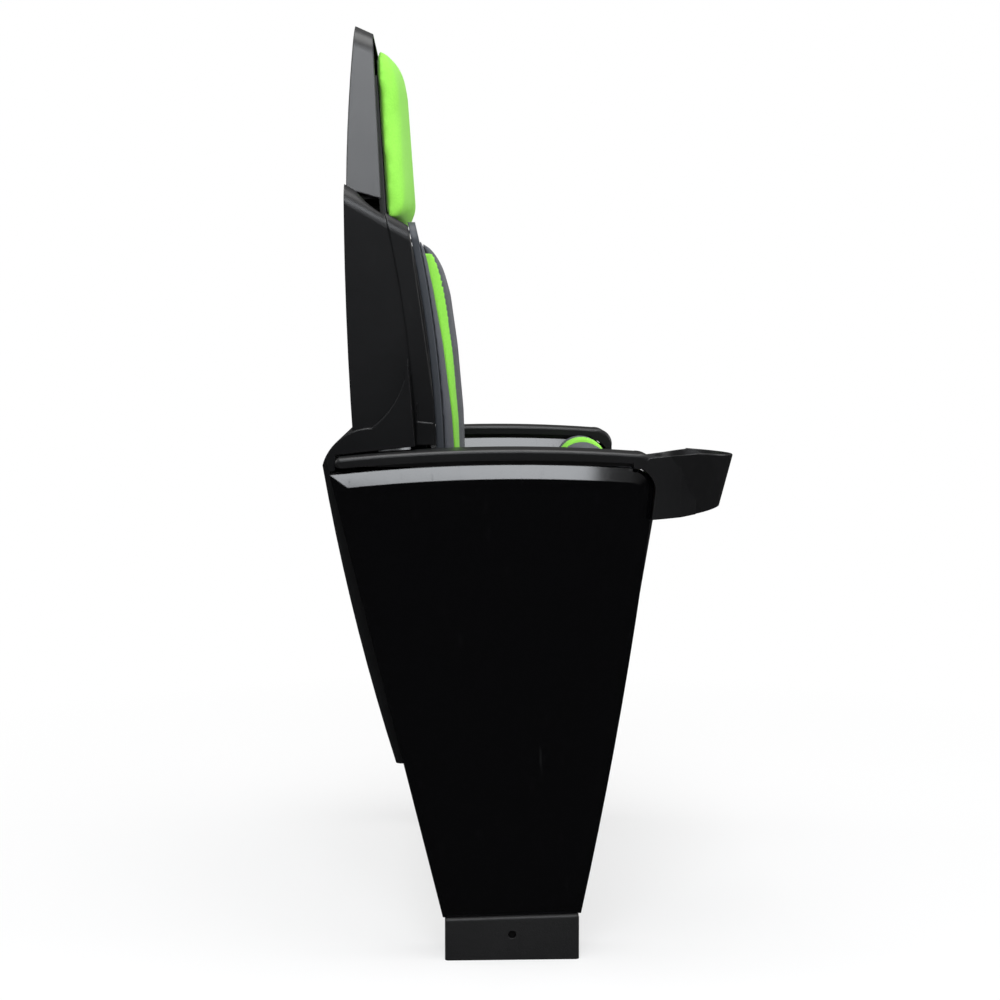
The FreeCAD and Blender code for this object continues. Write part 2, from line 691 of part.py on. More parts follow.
# Seat hinge, fixed part
def hinge_shaft():
    thread_end = plate_x + PLATE_T + NUT_T + 3
    shaft = x_rod(spring_end_x(), thread_end, PIVOT_Y, PIVOT_Z, SHAFT_R)
    collar = x_rod(spring_end_x() - COLLAR_T, spring_end_x(), PIVOT_Y, PIVOT_Z, COLLAR_R)
    return shaft.fuse(collar)


def stop_plate_x():
    return BRACKET_X - BRACKET_T - END_PLAY - STOP_PLATE_T


def spring_end_x():
    return stop_plate_x() - SPRING_TURNS * SPRING_PITCH - 4 * SPRING_WIRE_R


def hinge_nut():
    start = plate_x + PLATE_T
    corners = []
    for step in range(6):
        angle = math.radians(60 * step)
        corners.append(V(start, PIVOT_Y + NUT_R * math.cos(angle),
                         PIVOT_Z + NUT_R * math.sin(angle)))
    nut = prism(Part.makePolygon(corners + corners[:1]), V(NUT_T, 0, 0))
    return nut.cut(x_rod(start, start + NUT_T, PIVOT_Y, PIVOT_Z, SHAFT_R))


def hinge_spacer():
    start = BRACKET_X + END_PLAY
    tube = x_rod(start, plate_x, PIVOT_Y, PIVOT_Z, SPACER_R)
    return tube.cut(x_rod(start, plate_x, PIVOT_Y, PIVOT_Z, SHAFT_R + RUN_FIT))


def stop_point(angle):
    turn = math.radians(angle)
    return (PIVOT_Y + STOP_RADIUS * math.cos(turn), PIVOT_Z + STOP_RADIUS * math.sin(turn))


# Plate with a curved slot: the seat's stop pin meets its two ends
def stop_plate():
    x = stop_plate_x()
    plate = x_rod(x, x + STOP_PLATE_T, PIVOT_Y, PIVOT_Z, STOP_PLATE_R)
    plate = plate.cut(x_rod(x, x + STOP_PLATE_T, PIVOT_Y, PIVOT_Z, SHAFT_R))
    half = STOP_SLEEVE_R + STOP_GAP
    past = math.degrees(STOP_GAP / STOP_RADIUS)
    first = STOP_ANGLE - SEAT_TRAVEL - past
    last = STOP_ANGLE + past
    inner = outline(at_x(x), *slot_moves(first, last, half))
    return plate.cut(prism(inner, V(STOP_PLATE_T, 0, 0)))


def slot_moves(first, last, half):
    def spot(radius, angle):
        turn = math.radians(angle)
        return (PIVOT_Y + radius * math.cos(turn), PIVOT_Z + radius * math.sin(turn))
    middle = (first + last) / 2
    past = math.degrees(half / STOP_RADIUS)
    return (spot(STOP_RADIUS - half, first),
            spot(STOP_RADIUS, first - past) + spot(STOP_RADIUS + half, first),
            spot(STOP_RADIUS + half, middle) + spot(STOP_RADIUS + half, last),
            spot(STOP_RADIUS, last + past) + spot(STOP_RADIUS - half, last),
            spot(STOP_RADIUS - half, middle) + spot(STOP_RADIUS - half, first))


# Seat hinge, moving part
def hinge_bracket():
    inside = BRACKET_X - BRACKET_T
    plate = across(inside, BRACKET_X, (BRACKET_FRONT_Y, board_low_z),
                   (BRACKET_REAR_Y, board_low_z), (BRACKET_REAR_Y, board_low_z - 16.0),
                   (PIVOT_Y + 12.0, PIVOT_Z - 16.0),
                   (PIVOT_Y - 2.0, PIVOT_Z - BRACKET_R, PIVOT_Y - 16.0, PIVOT_Z - 12.0),
                   (BRACKET_FRONT_Y, board_low_z - 16.0))
    eye = x_rod(inside, BRACKET_X, PIVOT_Y, PIVOT_Z, BRACKET_R)
    flange = box(BRACKET_X - BRACKET_FLANGE, BRACKET_X, BRACKET_FRONT_Y, BRACKET_REAR_Y,
                 board_low_z - BRACKET_T, board_low_z)
    pin_y, pin_z = stop_point(STOP_ANGLE)
    web = x_rod(inside, BRACKET_X, pin_y, pin_z, STOP_PIN_R + 4.0)
    whole = plate.multiFuse([eye, flange, web])
    holes = [x_rod(inside, BRACKET_X, PIVOT_Y, PIVOT_Z, BUSH_R),
             x_rod(inside, BRACKET_X, pin_y, pin_z, STOP_PIN_R)]
    for x, y in bracket_screw_places():
        holes.append(rod(V(x, y, board_low_z - BRACKET_T), V(x, y, board_low_z),
                         SCREW_R + RUN_FIT))
    return whole.cut(Part.makeCompound(holes))


def bracket_screw_places():
    x = BRACKET_X - BRACKET_FLANGE + 10.0
    span = BRACKET_REAR_Y - BRACKET_FRONT_Y
    return [(x, BRACKET_FRONT_Y + span * share) for share in (0.1, 0.5, 0.9)]


def hinge_bush():
    inside = BRACKET_X - BRACKET_T
    ring = x_rod(inside, BRACKET_X, PIVOT_Y, PIVOT_Z, BUSH_R)
    return ring.cut(x_rod(inside, BRACKET_X, PIVOT_Y, PIVOT_Z, SHAFT_R + RUN_FIT))


def stop_pin():
    y, z = stop_point(STOP_ANGLE)
    return x_rod(stop_plate_x() - 1.0, BRACKET_X, y, z, STOP_PIN_R)


def stop_sleeve():
    y, z = stop_point(STOP_ANGLE)
    start = stop_plate_x() - 1.0
    sleeve = x_rod(start, BRACKET_X - BRACKET_T, y, z, STOP_SLEEVE_R)
    return sleeve.cut(x_rod(start, BRACKET_X - BRACKET_T, y, z, STOP_PIN_R))


# An arc that leaves one point towards the apex and ends at the other
def arc_by_apex(start, apex, end):
    middle = (start + end) * 0.5
    half = (end - start).Length / 2
    rise = apex - middle
    if rise.Length < 1e-6:
        return Part.LineSegment(start, end).toShape()
    quarter = math.atan2(rise.Length, half) / 2
    return Part.Arc(start, middle + rise.normalize() * (half * math.tan(quarter)), end).toShape()


def biarc(start, start_way, end, end_way):
    chord = end - start
    total = start_way + end_way
    spread = 2 * (1 - start_way.dot(end_way))
    along = chord.dot(total)
    reach = (-along + math.sqrt(along ** 2 + spread * chord.dot(chord))) / spread
    first_apex = start + start_way * reach
    last_apex = end - end_way * reach
    joint = (first_apex + last_apex) * 0.5
    return [arc_by_apex(start, first_apex, joint), arc_by_apex(joint, last_apex, end)]


# Torsion spring round the shaft: a leg up to the seat board, the coil, and a short tail
def return_spring():
    first_x = stop_plate_x() - 2 * SPRING_WIRE_R
    quarters = 4 * SPRING_TURNS

    def coil(step):
        turn = math.radians(180 + 90 * step)
        x = first_x - SPRING_PITCH * step / 4
        return V(x, PIVOT_Y + SPRING_R * math.cos(turn), PIVOT_Z + SPRING_R * math.sin(turn))

    def way(step):
        turn = math.radians(180 + 90 * step)
        round_way = V(0, -math.sin(turn), math.cos(turn)) * (SPRING_R * math.pi / 2)
        return (round_way + V(-SPRING_PITCH / 4, 0, 0)).normalize()

    leg = board_low_z - BRACKET_T - SOFT_GAP - PIVOT_Z
    top = coil(0) - way(0) * leg
    edges = [Part.LineSegment(top, coil(0)).toShape()]
    for step in range(quarters):
        edges += biarc(coil(step), way(step), coil(step + 1), way(step + 1))
    tail = coil(quarters) + way(quarters) * SPRING_R
    edges.append(Part.LineSegment(coil(quarters), tail).toShape())
    section = Part.Wire(Part.makeCircle(SPRING_WIRE_R, top, way(0)))
    return Part.Wire(edges).makePipeShell([section], True, False)


# Seat board and underside cover
def seat_board():
    half = SEAT_W / 2 - BOARD_IN
    front = SEAT_NOSE_Y + (SEAT_TOP_Z - BOARD_TOP_Z) / 2
    board = box(-half, half, front, SEAT_REAR_Y - BOARD_IN, board_low_z, BOARD_TOP_Z)
    board = rounded(board, BOARD_CORNER_R, lambda bounds, centre: bounds.ZLength > BOARD_T / 2)
    return drilled(board, seat_screws())


# Corners of its fore-and-aft outline: nose, the two ends of the low part, heel
def under_corners():
    front, rear = UNDER_LOW_Y
    return ((UNDER_FRONT_Y + 12.0, board_low_z - 14.0), (front, UNDER_LOW_Z + 5.0),
            (rear, UNDER_LOW_Z + 5.0), (SEAT_REAR_Y - 12.0, UNDER_REAR_Z))


def under_wire(x):
    nose, front, rear, heel = under_corners()
    return outline(at_x(x), (UNDER_FRONT_Y, board_low_z),
                   (UNDER_FRONT_Y + 3.0, board_low_z - 8.0) + nose, front,
                   ((front[0] + rear[0]) / 2, UNDER_LOW_Z - 1.0) + rear, heel,
                   (SEAT_REAR_Y - 4.0, UNDER_REAR_Z + 12.0, SEAT_REAR_Y - 2.0, board_low_z))


def under_screw_places():
    nose, front, rear, heel = under_corners()
    places = []
    for y, low, high in ((UNDER_SCREW_Y[0], front, nose), (UNDER_SCREW_Y[1], rear, heel)):
        z = low[1] + (high[1] - low[1]) * (y - low[0]) / (high[0] - low[0])
        places += [(-UNDER_SCREW_X, y, z), (UNDER_SCREW_X, y, z)]
    return places


def seat_shell():
    half = UNDER_W / 2
    outer = soft_block(-half, half, UNDER_EDGE_R,
                       lambda x, smaller: inset(under_wire(x), smaller))
    inner = soft_block(-half + UNDER_WALL, half - UNDER_WALL, UNDER_EDGE_R - UNDER_WALL,
                       lambda x, smaller: inset(under_wire(x), smaller + UNDER_WALL))
    lid = inner.BoundBox
    top = box(lid.XMin, lid.XMax, lid.YMin + 6.0, lid.YMax - 1.0, lid.ZMax - 4.0, board_low_z + 1)
    inner = inner.fuse(top)
    shell = outer.cut(inner)
    ribs = []
    for x in UNDER_RIB_X:
        rib = box(x - UNDER_RIB_T / 2, x + UNDER_RIB_T / 2, UNDER_FRONT_Y, SEAT_REAR_Y,
                  UNDER_LOW_Z, UNDER_RIB_TOP_Z)
        ribs.append(rib.common(inner))
    for x, y, z in under_screw_places():
        ribs.append(rod(V(x, y, UNDER_LOW_Z), V(x, y, board_low_z), UNDER_BOSS_R).common(outer))
    shell = drilled(shell.multiFuse(ribs), seat_screws())
    hole = SPACER_R + SPACER_HOLE_GAP
    return shell.cut(Part.makeCompound([x_rod(-half - 1, -half + 2 * UNDER_WALL, PIVOT_Y, PIVOT_Z, hole),
                                        x_rod(half - 2 * UNDER_WALL, half + 1, PIVOT_Y, PIVOT_Z, hole)]))


# One fore-and-aft section of the seat cushion, lowered and drawn in by a given amount
def seat_section(x, lower):
    base = BOARD_TOP_Z + SOFT_GAP
    top = SEAT_TOP_Z - lower
    nose_r = (top - base) / 2
    nose_y = SEAT_NOSE_Y + (SEAT_TOP_Z - BOARD_TOP_Z) / 2
    nose_z = base + nose_r
    bend = nose_r * math.sqrt(0.5)
    rear_y = SEAT_REAR_Y - lower / 2
    rear_top = (rear_y - SEAT_REAR_R, top - SEAT_REAR_DROP)
    rear_low = (rear_y, top - SEAT_REAR_DROP - SEAT_REAR_R)
    rear_bend = SEAT_REAR_R * (1 - math.sqrt(0.5))
    middle = ((nose_y + rear_top[0]) / 2, top - SEAT_REAR_DROP / 2 - SEAT_DISH)
    return outline(at_x(x), (rear_y - 4.0, base), (nose_y, base),
                   (nose_y - bend, nose_z - bend, nose_y - nose_r, nose_z),
                   (nose_y - bend, nose_z + bend, nose_y, top),
                   middle + rear_top,
                   (rear_y - rear_bend, rear_top[1] - rear_bend) + rear_low)


def seat_cushion():
    edge = SEAT_STRIPE_IN - SOFT_GAP / 2
    places = ((-1.0, SEAT_SEAM + SEAT_CROWN), (-0.94, SEAT_CROWN), (-0.5, SEAT_CROWN / 4), (0.0, 0.0),
              (0.5, SEAT_CROWN / 4), (0.94, SEAT_CROWN), (1.0, SEAT_SEAM + SEAT_CROWN))
    return loft([seat_section(share * edge, lower) for share, lower in places])


def seat_stripe():
    start = SEAT_STRIPE_IN + SOFT_GAP / 2
    width = SEAT_STRIPE_OUT - SEAT_STRIPE_IN - SOFT_GAP
    deep = SEAT_CROWN + SEAT_SEAM
    places = ((0.0, deep), (0.2, SEAT_CROWN + 0.5), (0.5, SEAT_CROWN), (0.8, SEAT_CROWN + 0.5),
              (1.0, deep))
    return loft([seat_section(start + share * width, lower) for share, lower in places])


def seat_bolster():
    start = SEAT_STRIPE_OUT + SOFT_GAP / 2
    width = SEAT_W / 2 - start
    places = ((0.0, SEAT_CROWN + SEAT_SEAM), (0.15, SEAT_CROWN), (0.45, SEAT_CROWN),
              (0.75, SEAT_CROWN + 3.0), (0.93, SEAT_CROWN + 10.0), (1.0, SEAT_SIDE_DROP))
    return loft([seat_section(start + share * width, lower) for share, lower in places])


# Upper back shell: a hollow head over wider wings, both open to the front

def shell_rear_y(z):
    if z > SHOULDER_Z:
        share = (z - SHOULDER_Z) / (BACK_TOP_Z - SHOULDER_Z)
        return BACK_BULGE_Y + (BACK_TOP_REAR_Y - BACK_BULGE_Y) * share ** 2
    share = (SHOULDER_Z - z) / (SHOULDER_Z - BACK_WAIST_Z)
    return BACK_BULGE_Y + (BACK_WAIST_Y - BACK_BULGE_Y) * share ** 2


def board_rear_y(z):
    return BEND_Y + BEND_R - math.sqrt(BEND_R ** 2 - (z - BEND_Z) ** 2)


def rim_y(z):
    return board_rear_y(z) + RIM_GAP


# The head's top falls towards the front; open_y is where a hollow's open side lies, or None
def head_block(smaller, open_y=None):
    reach = 2 * HEAD_LOW_HALF
    fall = HEAD_TOP_SLOPE / (BACK_TOP_REAR_Y - HEAD_TOP_FRONT_Y)
    top = BACK_TOP_Z - smaller
    mid_z = (top + SHOULDER_Z) / 2
    rear_y = BACK_TOP_REAR_Y - smaller
    front_top = HEAD_TOP_FRONT_Y if open_y is None else open_y
    front_low = HEAD_LOW_FRONT_Y if open_y is None else open_y
    side = across(-reach, reach, (rear_y, top),
                  (shell_rear_y(mid_z) - smaller, mid_z, BACK_BULGE_Y - smaller, SHOULDER_Z),
                  (shell_rear_y(HEAD_LOW_Z) - smaller, HEAD_LOW_Z), (front_low, HEAD_LOW_Z),
                  (front_top, top - fall * (rear_y - front_top)))
    slope = (HEAD_LOW_HALF - HEAD_TOP_HALF) / (BACK_TOP_Z - SHOULDER_Z)
    high_half = HEAD_TOP_HALF - smaller - slope * HEAD_CORNER_R
    low_half = HEAD_TOP_HALF - smaller + slope * (BACK_TOP_Z - HEAD_LOW_Z)
    front = prism(outline(at_y(0.0), (high_half, top + HEAD_CORNER_R), (low_half, HEAD_LOW_Z),
                          (-low_half, HEAD_LOW_Z), (-high_half, top + HEAD_CORNER_R)),
                  V(0, 2 * BACK_BULGE_Y, 0))
    whole = side.common(front)
    return rounded(whole, HEAD_CORNER_R - smaller, lambda bounds, centre: abs(centre.x) > high_half
                   and bounds.ZLength > 1 and bounds.XLength < HEAD_CORNER_R
                   and bounds.YLength > bounds.ZLength and centre.z > SHOULDER_Z)


def wing_block(smaller, proud, open_y=None):
    reach = WAIST_HALF + 20.0
    top = SHOULDER_Z - smaller
    low = ARM_H + ARM_CLEAR
    mid_z = (top + low) / 2
    shoulder_z = SHOULDER_FRONT_Z - smaller
    if open_y is None:
        ahead = [(rim_y(low), low), (rim_y(mid_z), mid_z, rim_y(shoulder_z), shoulder_z)]
    else:
        ahead = [(open_y, low), (open_y, shoulder_z)]
    side = across(-reach, reach, (shell_rear_y(top) - smaller, top),
                  (shell_rear_y(mid_z) - smaller, mid_z, shell_rear_y(low) - smaller, low), *ahead)
    waist = WAIST_HALF + proud - smaller
    shoulder = SHOULDER_HALF + proud - smaller
    front = prism(outline(at_y(0.0), (shoulder, SHOULDER_Z), (waist, low),
                          (-waist, low), (-shoulder, SHOULDER_Z)), V(0, 300.0, 0))
    whole = side.common(front)
    return rounded(whole, SHOULDER_R, lambda bounds, centre: bounds.YLength > SHOULDER_R
                   and centre.z > shoulder_z and abs(centre.x) > shoulder - SHELL_WALL)


# The band along the front edge of each side stands a little proud
def rim_band():
    low = ARM_H + ARM_CLEAR
    high = SHOULDER_Z
    mid = (low + high) / 2
    strip = across(-300.0, 300.0, (rim_y(low) - 5.0, low), (rim_y(low) + RIM_W, low),
                   (rim_y(mid) + RIM_W, mid, rim_y(high) + RIM_W, high), (rim_y(high) - 5.0, high))
    return wing_block(0.0, RIM_PROUD).common(strip)


# Screw bosses of the shell: distance from the middle, height and front end
def shell_boss_places():
    places = [(SHELL_BOSS_X, TOP_BAR_Z + TUBE_W / 2, top_bar_rear_y())]
    for z in HEADREST_SCREW_Z:
        places.append((HEADREST_SCREW_X, z, headrest_rear_y(z) + SOFT_GAP + HEADREST_BOARD_T))
    return places


def headrest_rear_y(z):
    share = (z - HEADREST_LOW_Z) / (HEADREST_TOP_Z - HEADREST_LOW_Z)
    return HEADREST_LOW_REAR_Y + (HEADREST_TOP_REAR_Y - HEADREST_LOW_REAR_Y) * share


def back_shell():
    outside = head_block(0.0).multiFuse([wing_block(0.0, 0.0), rim_band()])
    inside = head_block(SHELL_WALL, HOLLOW_Y).fuse(wing_block(SHELL_WALL, 0.0, HOLLOW_Y))
    shell = outside.cut(inside)
    bosses = []
    for side in (RIGHT, LEFT):
        for x, z, front_y in shell_boss_places():
            rear_y = shell_rear_y(z) - SHELL_WALL / 2
            bosses.append(rod(V(side * x, front_y, z), V(side * x, rear_y, z), SHELL_BOSS_R))
    shell = shell.multiFuse(bosses).cut(headrest_board())
    return drilled(shell, shell_screws())


def shell_screws():
    screws = []
    for side in (RIGHT, LEFT):
        for x, z, front_y in shell_boss_places():
            start = shell_rear_y(z) + SCREW_PROUD
            screws.append(screw(V(side * x, start, z), (0, -1, 0), start - front_y + 6.0))
    return screws


# Lower back cover: wraps behind both standards, with hips that sweep up beside the back
def cover_rear_arc(smaller):
    return (COVER_MID_Y - smaller, COVER_MID_Z, COVER_END_Y - smaller, COVER_END_Z)


def hip_front_y(z):
    return rim_y(z) + RIM_W + ARM_PANEL_GAP


def panel_rear_y(z):
    low_y = foot_half + PANEL_FOOT_OVER
    low_z = foot_top_z(low_y)
    high_z = panel_top_z - PANEL_REAR_DROP
    return low_y + (PANEL_REAR_Y - low_y) * (z - low_z) / (high_z - low_z)


def lower_cover():
    gap = COVER_GAP
    hip_low_z = ARM_H + ARM_CLEAR
    top_z = panel_top_z - PANEL_REAR_DROP
    half = HIP_HALF
    outer = across(-half, half, (HIP_REAR_Y, HIP_REAR_Z), cover_rear_arc(0.0),
                   (panel_rear_y(COVER_END_Z) + gap, COVER_END_Z),
                   (PANEL_REAR_Y + gap, top_z + gap), (ARM_REAR_Y + gap, top_z + 2 * gap),
                   (ARM_REAR_Y + gap, arm_top_z(ARM_REAR_Y) + ARM_CLEAR),
                   (hip_front_y(hip_low_z), hip_low_z), (HIP_TOP_Y, HIP_TOP_Z),
                   (HIP_SWEEP_Y, HIP_SWEEP_Z, HIP_LEDGE_Y, HIP_LEDGE_Z),
                   (HIP_ROUND_Y, HIP_ROUND_Z, HIP_REAR_Y, HIP_REAR_Z))
    outer = rounded(outer, HIP_EDGE_R, lambda bounds, centre: bounds.XLength < 0.01
                    and centre.y > cover_line_y(centre.z) and centre.z < HIP_LEDGE_Z
                    and bounds.ZLength + bounds.YLength > 30)
    t = SHELL_WALL
    inner = across(-half + t, half - t, (HIP_REAR_Y - t, HIP_REAR_Z - 1.0), cover_rear_arc(t),
                   (40.0, COVER_END_Z), (40.0, hip_low_z - 12.0),
                   (hip_front_y(hip_low_z) + t, hip_low_z - 12.0), (HIP_TOP_Y + t, HIP_TOP_Z - 4 * t),
                   (HIP_SWEEP_Y - t / 3, HIP_SWEEP_Z - t, HIP_LEDGE_Y, HIP_LEDGE_Z - t),
                   (HIP_ROUND_Y - t / 2, HIP_ROUND_Z - t, HIP_REAR_Y - t, HIP_REAR_Z - 1.0))
    cover = outer.cut(inner)
    room = head_room()
    cover = cover.cut(room)
    bosses = []
    for side in (RIGHT, LEFT):
        for z in cover_screw_z():
            x = side * cover_screw_x()
            bosses.append(rod(V(x, SIDE_PLATE_Y[1], z), V(x, cover_rear_y(z) - t / 2, z), COVER_BOSS_R))
    return drilled(cover.multiFuse(bosses), lower_cover_screws())


# The upper shell's outside, a little larger, taken as one solid block
def head_room():
    low = COVER_FRONT_Z - 60.0
    high = HIP_TOP_Z + 60.0
    mid = (low + high) / 2
    gap = SEAT_ON_GAP
    reach = WAIST_HALF + RIM_PROUD + gap
    return across(-reach, reach, (shell_rear_y(high) + gap, high),
                  (shell_rear_y(mid) + gap, mid, shell_rear_y(low) + gap, low),
                  (40.0, low), (40.0, high))


def cover_line_y(z):
    return (panel_rear_y(z) + cover_rear_y(z)) / 2


def cover_rear_y(z):
    share = (HIP_REAR_Z - z) / (HIP_REAR_Z - COVER_END_Z)
    chord = HIP_REAR_Y + (COVER_END_Y - HIP_REAR_Y) * share
    share_mid = (HIP_REAR_Z - COVER_MID_Z) / (HIP_REAR_Z - COVER_END_Z)
    bow = COVER_MID_Y - HIP_REAR_Y - (COVER_END_Y - HIP_REAR_Y) * share_mid
    return chord + bow * share * (1 - share) / (share_mid * (1 - share_mid))


def cover_screw_z():
    reach = REAR_ARM_H / 2 - 12.0
    return (REAR_ARM_Z - reach, REAR_ARM_Z + reach)


def cover_screw_x():
    return inner_x - SIDE_PLATE_T - FRAME_FLANGE_W / 2


def lower_cover_screws():
    screws = []
    for side in (RIGHT, LEFT):
        for z in cover_screw_z():
            start = cover_rear_y(z) + SCREW_PROUD
            length = start - SIDE_PLATE_Y[1] + FRAME_FLANGE_T + 2.0
            screws.append(screw(V(side * cover_screw_x(), start, z), (0, -1, 0), length))
    return screws


# Small cover over the joint of armrest and back
def arm_link_cover():
    x = WAIST_HALF + RIM_PROUD + SEAT_ON_GAP
    low = ARM_H + ARM_CLEAR + 1.0
    front = hip_front_y(low) - 1.0
    return across(x, x + LINK_COVER_T, (rim_y(low) + 3.0, low), (rim_y(low) + 3.0, low + 26.0),
                  (front - 2.0, low + 28.0), (front - 2.0, low + 50.0), (front - 0.5, low + 50.0),
                  (front - 0.5, low))


# Steel frame behind the back board
def tube_x(x0, x1, y0, z0):
    wall = TUBE_WALL
    whole = box(x0, x1, y0, y0 + TUBE_D, z0, z0 + TUBE_W)
    return whole.cut(box(x0, x1, y0 + wall, y0 + TUBE_D - wall, z0 + wall, z0 + TUBE_W - wall))


def upright_y(z):
    low = board_rear_y(UPRIGHT_FOOT_Z) + SOFT_GAP
    high = board_rear_y(UPRIGHT_TOP_Z) + SOFT_GAP
    return low + (high - low) * (z - UPRIGHT_FOOT_Z) / (UPRIGHT_TOP_Z - UPRIGHT_FOOT_Z)


def low_bar_y():
    return upright_y(REAR_ARM_Z) + TUBE_D - 1.0


def top_bar_y():
    return upright_y(TOP_BAR_Z) + TUBE_D - 1.0


def top_bar_rear_y():
    return top_bar_y() + TUBE_D


def back_frame():
    parts = []
    low, high = UPRIGHT_FOOT_Z, UPRIGHT_TOP_Z
    wall = TUBE_WALL
    for side in (RIGHT, LEFT):
        x = side * UPRIGHT_X
        whole = across(x - TUBE_W / 2, x + TUBE_W / 2, (upright_y(low), low),
                       (upright_y(low) + TUBE_D, low), (upright_y(high) + TUBE_D, high),
                       (upright_y(high), high))
        bore = across(x - TUBE_W / 2 + wall, x + TUBE_W / 2 - wall, (upright_y(low) + wall, low),
                      (upright_y(low) + TUBE_D - wall, low), (upright_y(high) + TUBE_D - wall, high),
                      (upright_y(high) + wall, high))
        parts.append(whole.cut(bore))
        inside, outside = sorted((side * (inner_x - SIDE_PLATE_T), side * inner_x))
        plate = box(inside, outside, SIDE_PLATE_Y[0], SIDE_PLATE_Y[1],
                    REAR_ARM_Z - REAR_ARM_H / 2, REAR_ARM_Z + REAR_ARM_H / 2)
        for y, z in back_bolt_points():
            plate = plate.cut(x_rod(inside, outside, y, z, BOLT_R + RUN_FIT))
        edge = side * (inner_x - SIDE_PLATE_T - FRAME_FLANGE_W)
        start, end = sorted((edge, side * inner_x))
        flange = box(start, end, SIDE_PLATE_Y[1] - FRAME_FLANGE_T, SIDE_PLATE_Y[1],
                     REAR_ARM_Z - REAR_ARM_H / 2, REAR_ARM_Z + REAR_ARM_H / 2)
        for z in cover_screw_z():
            x = side * cover_screw_x()
            flange = flange.cut(rod(V(x, SIDE_PLATE_Y[0], z), V(x, SIDE_PLATE_Y[1], z), SCREW_R))
        parts += [plate, flange]
    bar_half = inner_x - SIDE_PLATE_T
    parts.append(tube_x(-bar_half, bar_half, low_bar_y(), REAR_ARM_Z - TUBE_W / 2))
    parts.append(tube_x(-UPRIGHT_X - 20.0, UPRIGHT_X + 20.0, top_bar_y(), TOP_BAR_Z))
    return drilled(parts[0].multiFuse(parts[1:]), board_screws() + shell_screws())


def back_bolts(side):
    inside = inner_x - SIDE_PLATE_T - BOLT_HEAD_T
    length = plate_x + PLATE_T + BOLT_HEAD_T + 2 - inside
    nut_x = plate_x + PLATE_T
    solids = []
    for y, z in back_bolt_points():
        solids.append(bolt(V(inside, y, z), (1, 0, 0), length))
        nut = x_rod(nut_x, nut_x + BOLT_HEAD_T, y, z, BOLT_HEAD_R)
        solids.append(nut.cut(x_rod(nut_x, nut_x + BOLT_HEAD_T, y, z, BOLT_R)))
    return [on_side(solid, side) for solid in solids]


# Back board, a panel bent to one radius with rounded corners
def back_board():
    low, high = BACK_BOARD_LOW_Z, BACK_BOARD_TOP_Z
    mid = (low + high) / 2
    half = BACK_BOARD_HALF
    front = -BACK_BOARD_T
    board = across(-half, half, (board_rear_y(low), low),
                   (board_rear_y(mid), mid, board_rear_y(high), high),
                   (board_rear_y(high) + front, high),
                   (board_rear_y(mid) + front, mid, board_rear_y(low) + front, low))
    board = rounded(board, BACK_BOARD_CORNER_R, lambda bounds, centre: bounds.YLength > 1
                    and bounds.ZLength < 1 and bounds.XLength < 0.01)
    return drilled(board, board_screws())


def board_screws():
    screws = []
    for side in (RIGHT, LEFT):
        for z in BOARD_SCREW_Z:
            start = upright_y(z) + TUBE_D + SCREW_HEAD_T
            screws.append(screw(V(side * UPRIGHT_X, start, z), (0, -1, 0), TUBE_D + 9.0))
    return screws


# Back cushion: thickness over the seams falls away at both ends
def end_share(z, low, high, low_round, high_round):
    if z > high - high_round:
        part = (z - high + high_round) / high_round
    elif z < low + low_round:
        part = (low + low_round - z) / low_round
    else:
        return 1.0
    return math.sqrt(max(1 - part ** 2, 0.0)) * 0.85 + 0.15


def cushion_t(z):
    return CUSHION_T * end_share(z, CUSHION_LOW_Z, CUSHION_TOP_Z, CUSHION_LOW_ROUND, CUSHION_TOP_ROUND)


def bolster_t(z):
    share = (z - CUSHION_LOW_Z) / (CUSHION_TOP_Z - CUSHION_LOW_Z)
    plain = BOLSTER_LOW_T + (BOLSTER_TOP_T - BOLSTER_LOW_T) * share
    return plain * end_share(z, CUSHION_LOW_Z, CUSHION_TOP_Z, CUSHION_LOW_ROUND, CUSHION_ROUND)


def stripe_edges(z):
    share = min((STRIPE_TIP_Z - z) / (STRIPE_TIP_Z - CUSHION_LOW_Z), 1.0)
    share = max(share, 0.0)
    inside = STRIPE_TIP_X + (STRIPE_LOW_IN - STRIPE_TIP_X) * share
    outside = STRIPE_TIP_X + STRIPE_TIP_W
    return inside, outside + (STRIPE_LOW_OUT - outside) * share


# One level section of a sewn width: flat back, two straight flanks, a crowned front
def width_section(z, x0, t0, x1, t1, crown):
    face = board_rear_y(z) - BACK_BOARD_T - SOFT_GAP
    back = face + PAD_SPARE
    middle = face - (t0 + t1) / 2 - crown
    return outline(at_z(z), (x0, back), (x1, back), (x1, face - t1),
                   ((x0 + x1) / 2, middle, x0, face - t0))


# A sewn width lies against the bent board: its spare depth is cut off on the board's curve
def padded_width(wires):
    low, high = CUSHION_LOW_Z - PAD_SPARE, CUSHION_TOP_Z + PAD_SPARE
    mid = (low + high) / 2
    front = -BACK_BOARD_T - SOFT_GAP
    behind = board_rear_y(high) + BACK_BOARD_T
    room = across(-WAIST_HALF, WAIST_HALF, (board_rear_y(low) + front, low),
                  (board_rear_y(mid) + front, mid, board_rear_y(high) + front, high),
                  (behind, high), (behind, low))
    return loft(wires).cut(room)


def levels(low, high):
    span = high - low
    rounds = [low, low + 4.0, low + 14.0, low + CUSHION_LOW_ROUND]
    middles = [low + span * share for share in (0.3, 0.5, 0.7)]
    return rounds + middles + [high - CUSHION_TOP_ROUND, high - 28.0, high - 12.0, high - 3.0, high]


def back_cushion():
    wires = []
    for z in levels(CUSHION_LOW_Z, CUSHION_TOP_Z):
        edge = stripe_edges(z)[0] - SOFT_GAP / 2
        t = cushion_t(z)
        wires.append(width_section(z, -edge, t, edge, t, CUSHION_CROWN * t / CUSHION_T))
    return padded_width(wires)


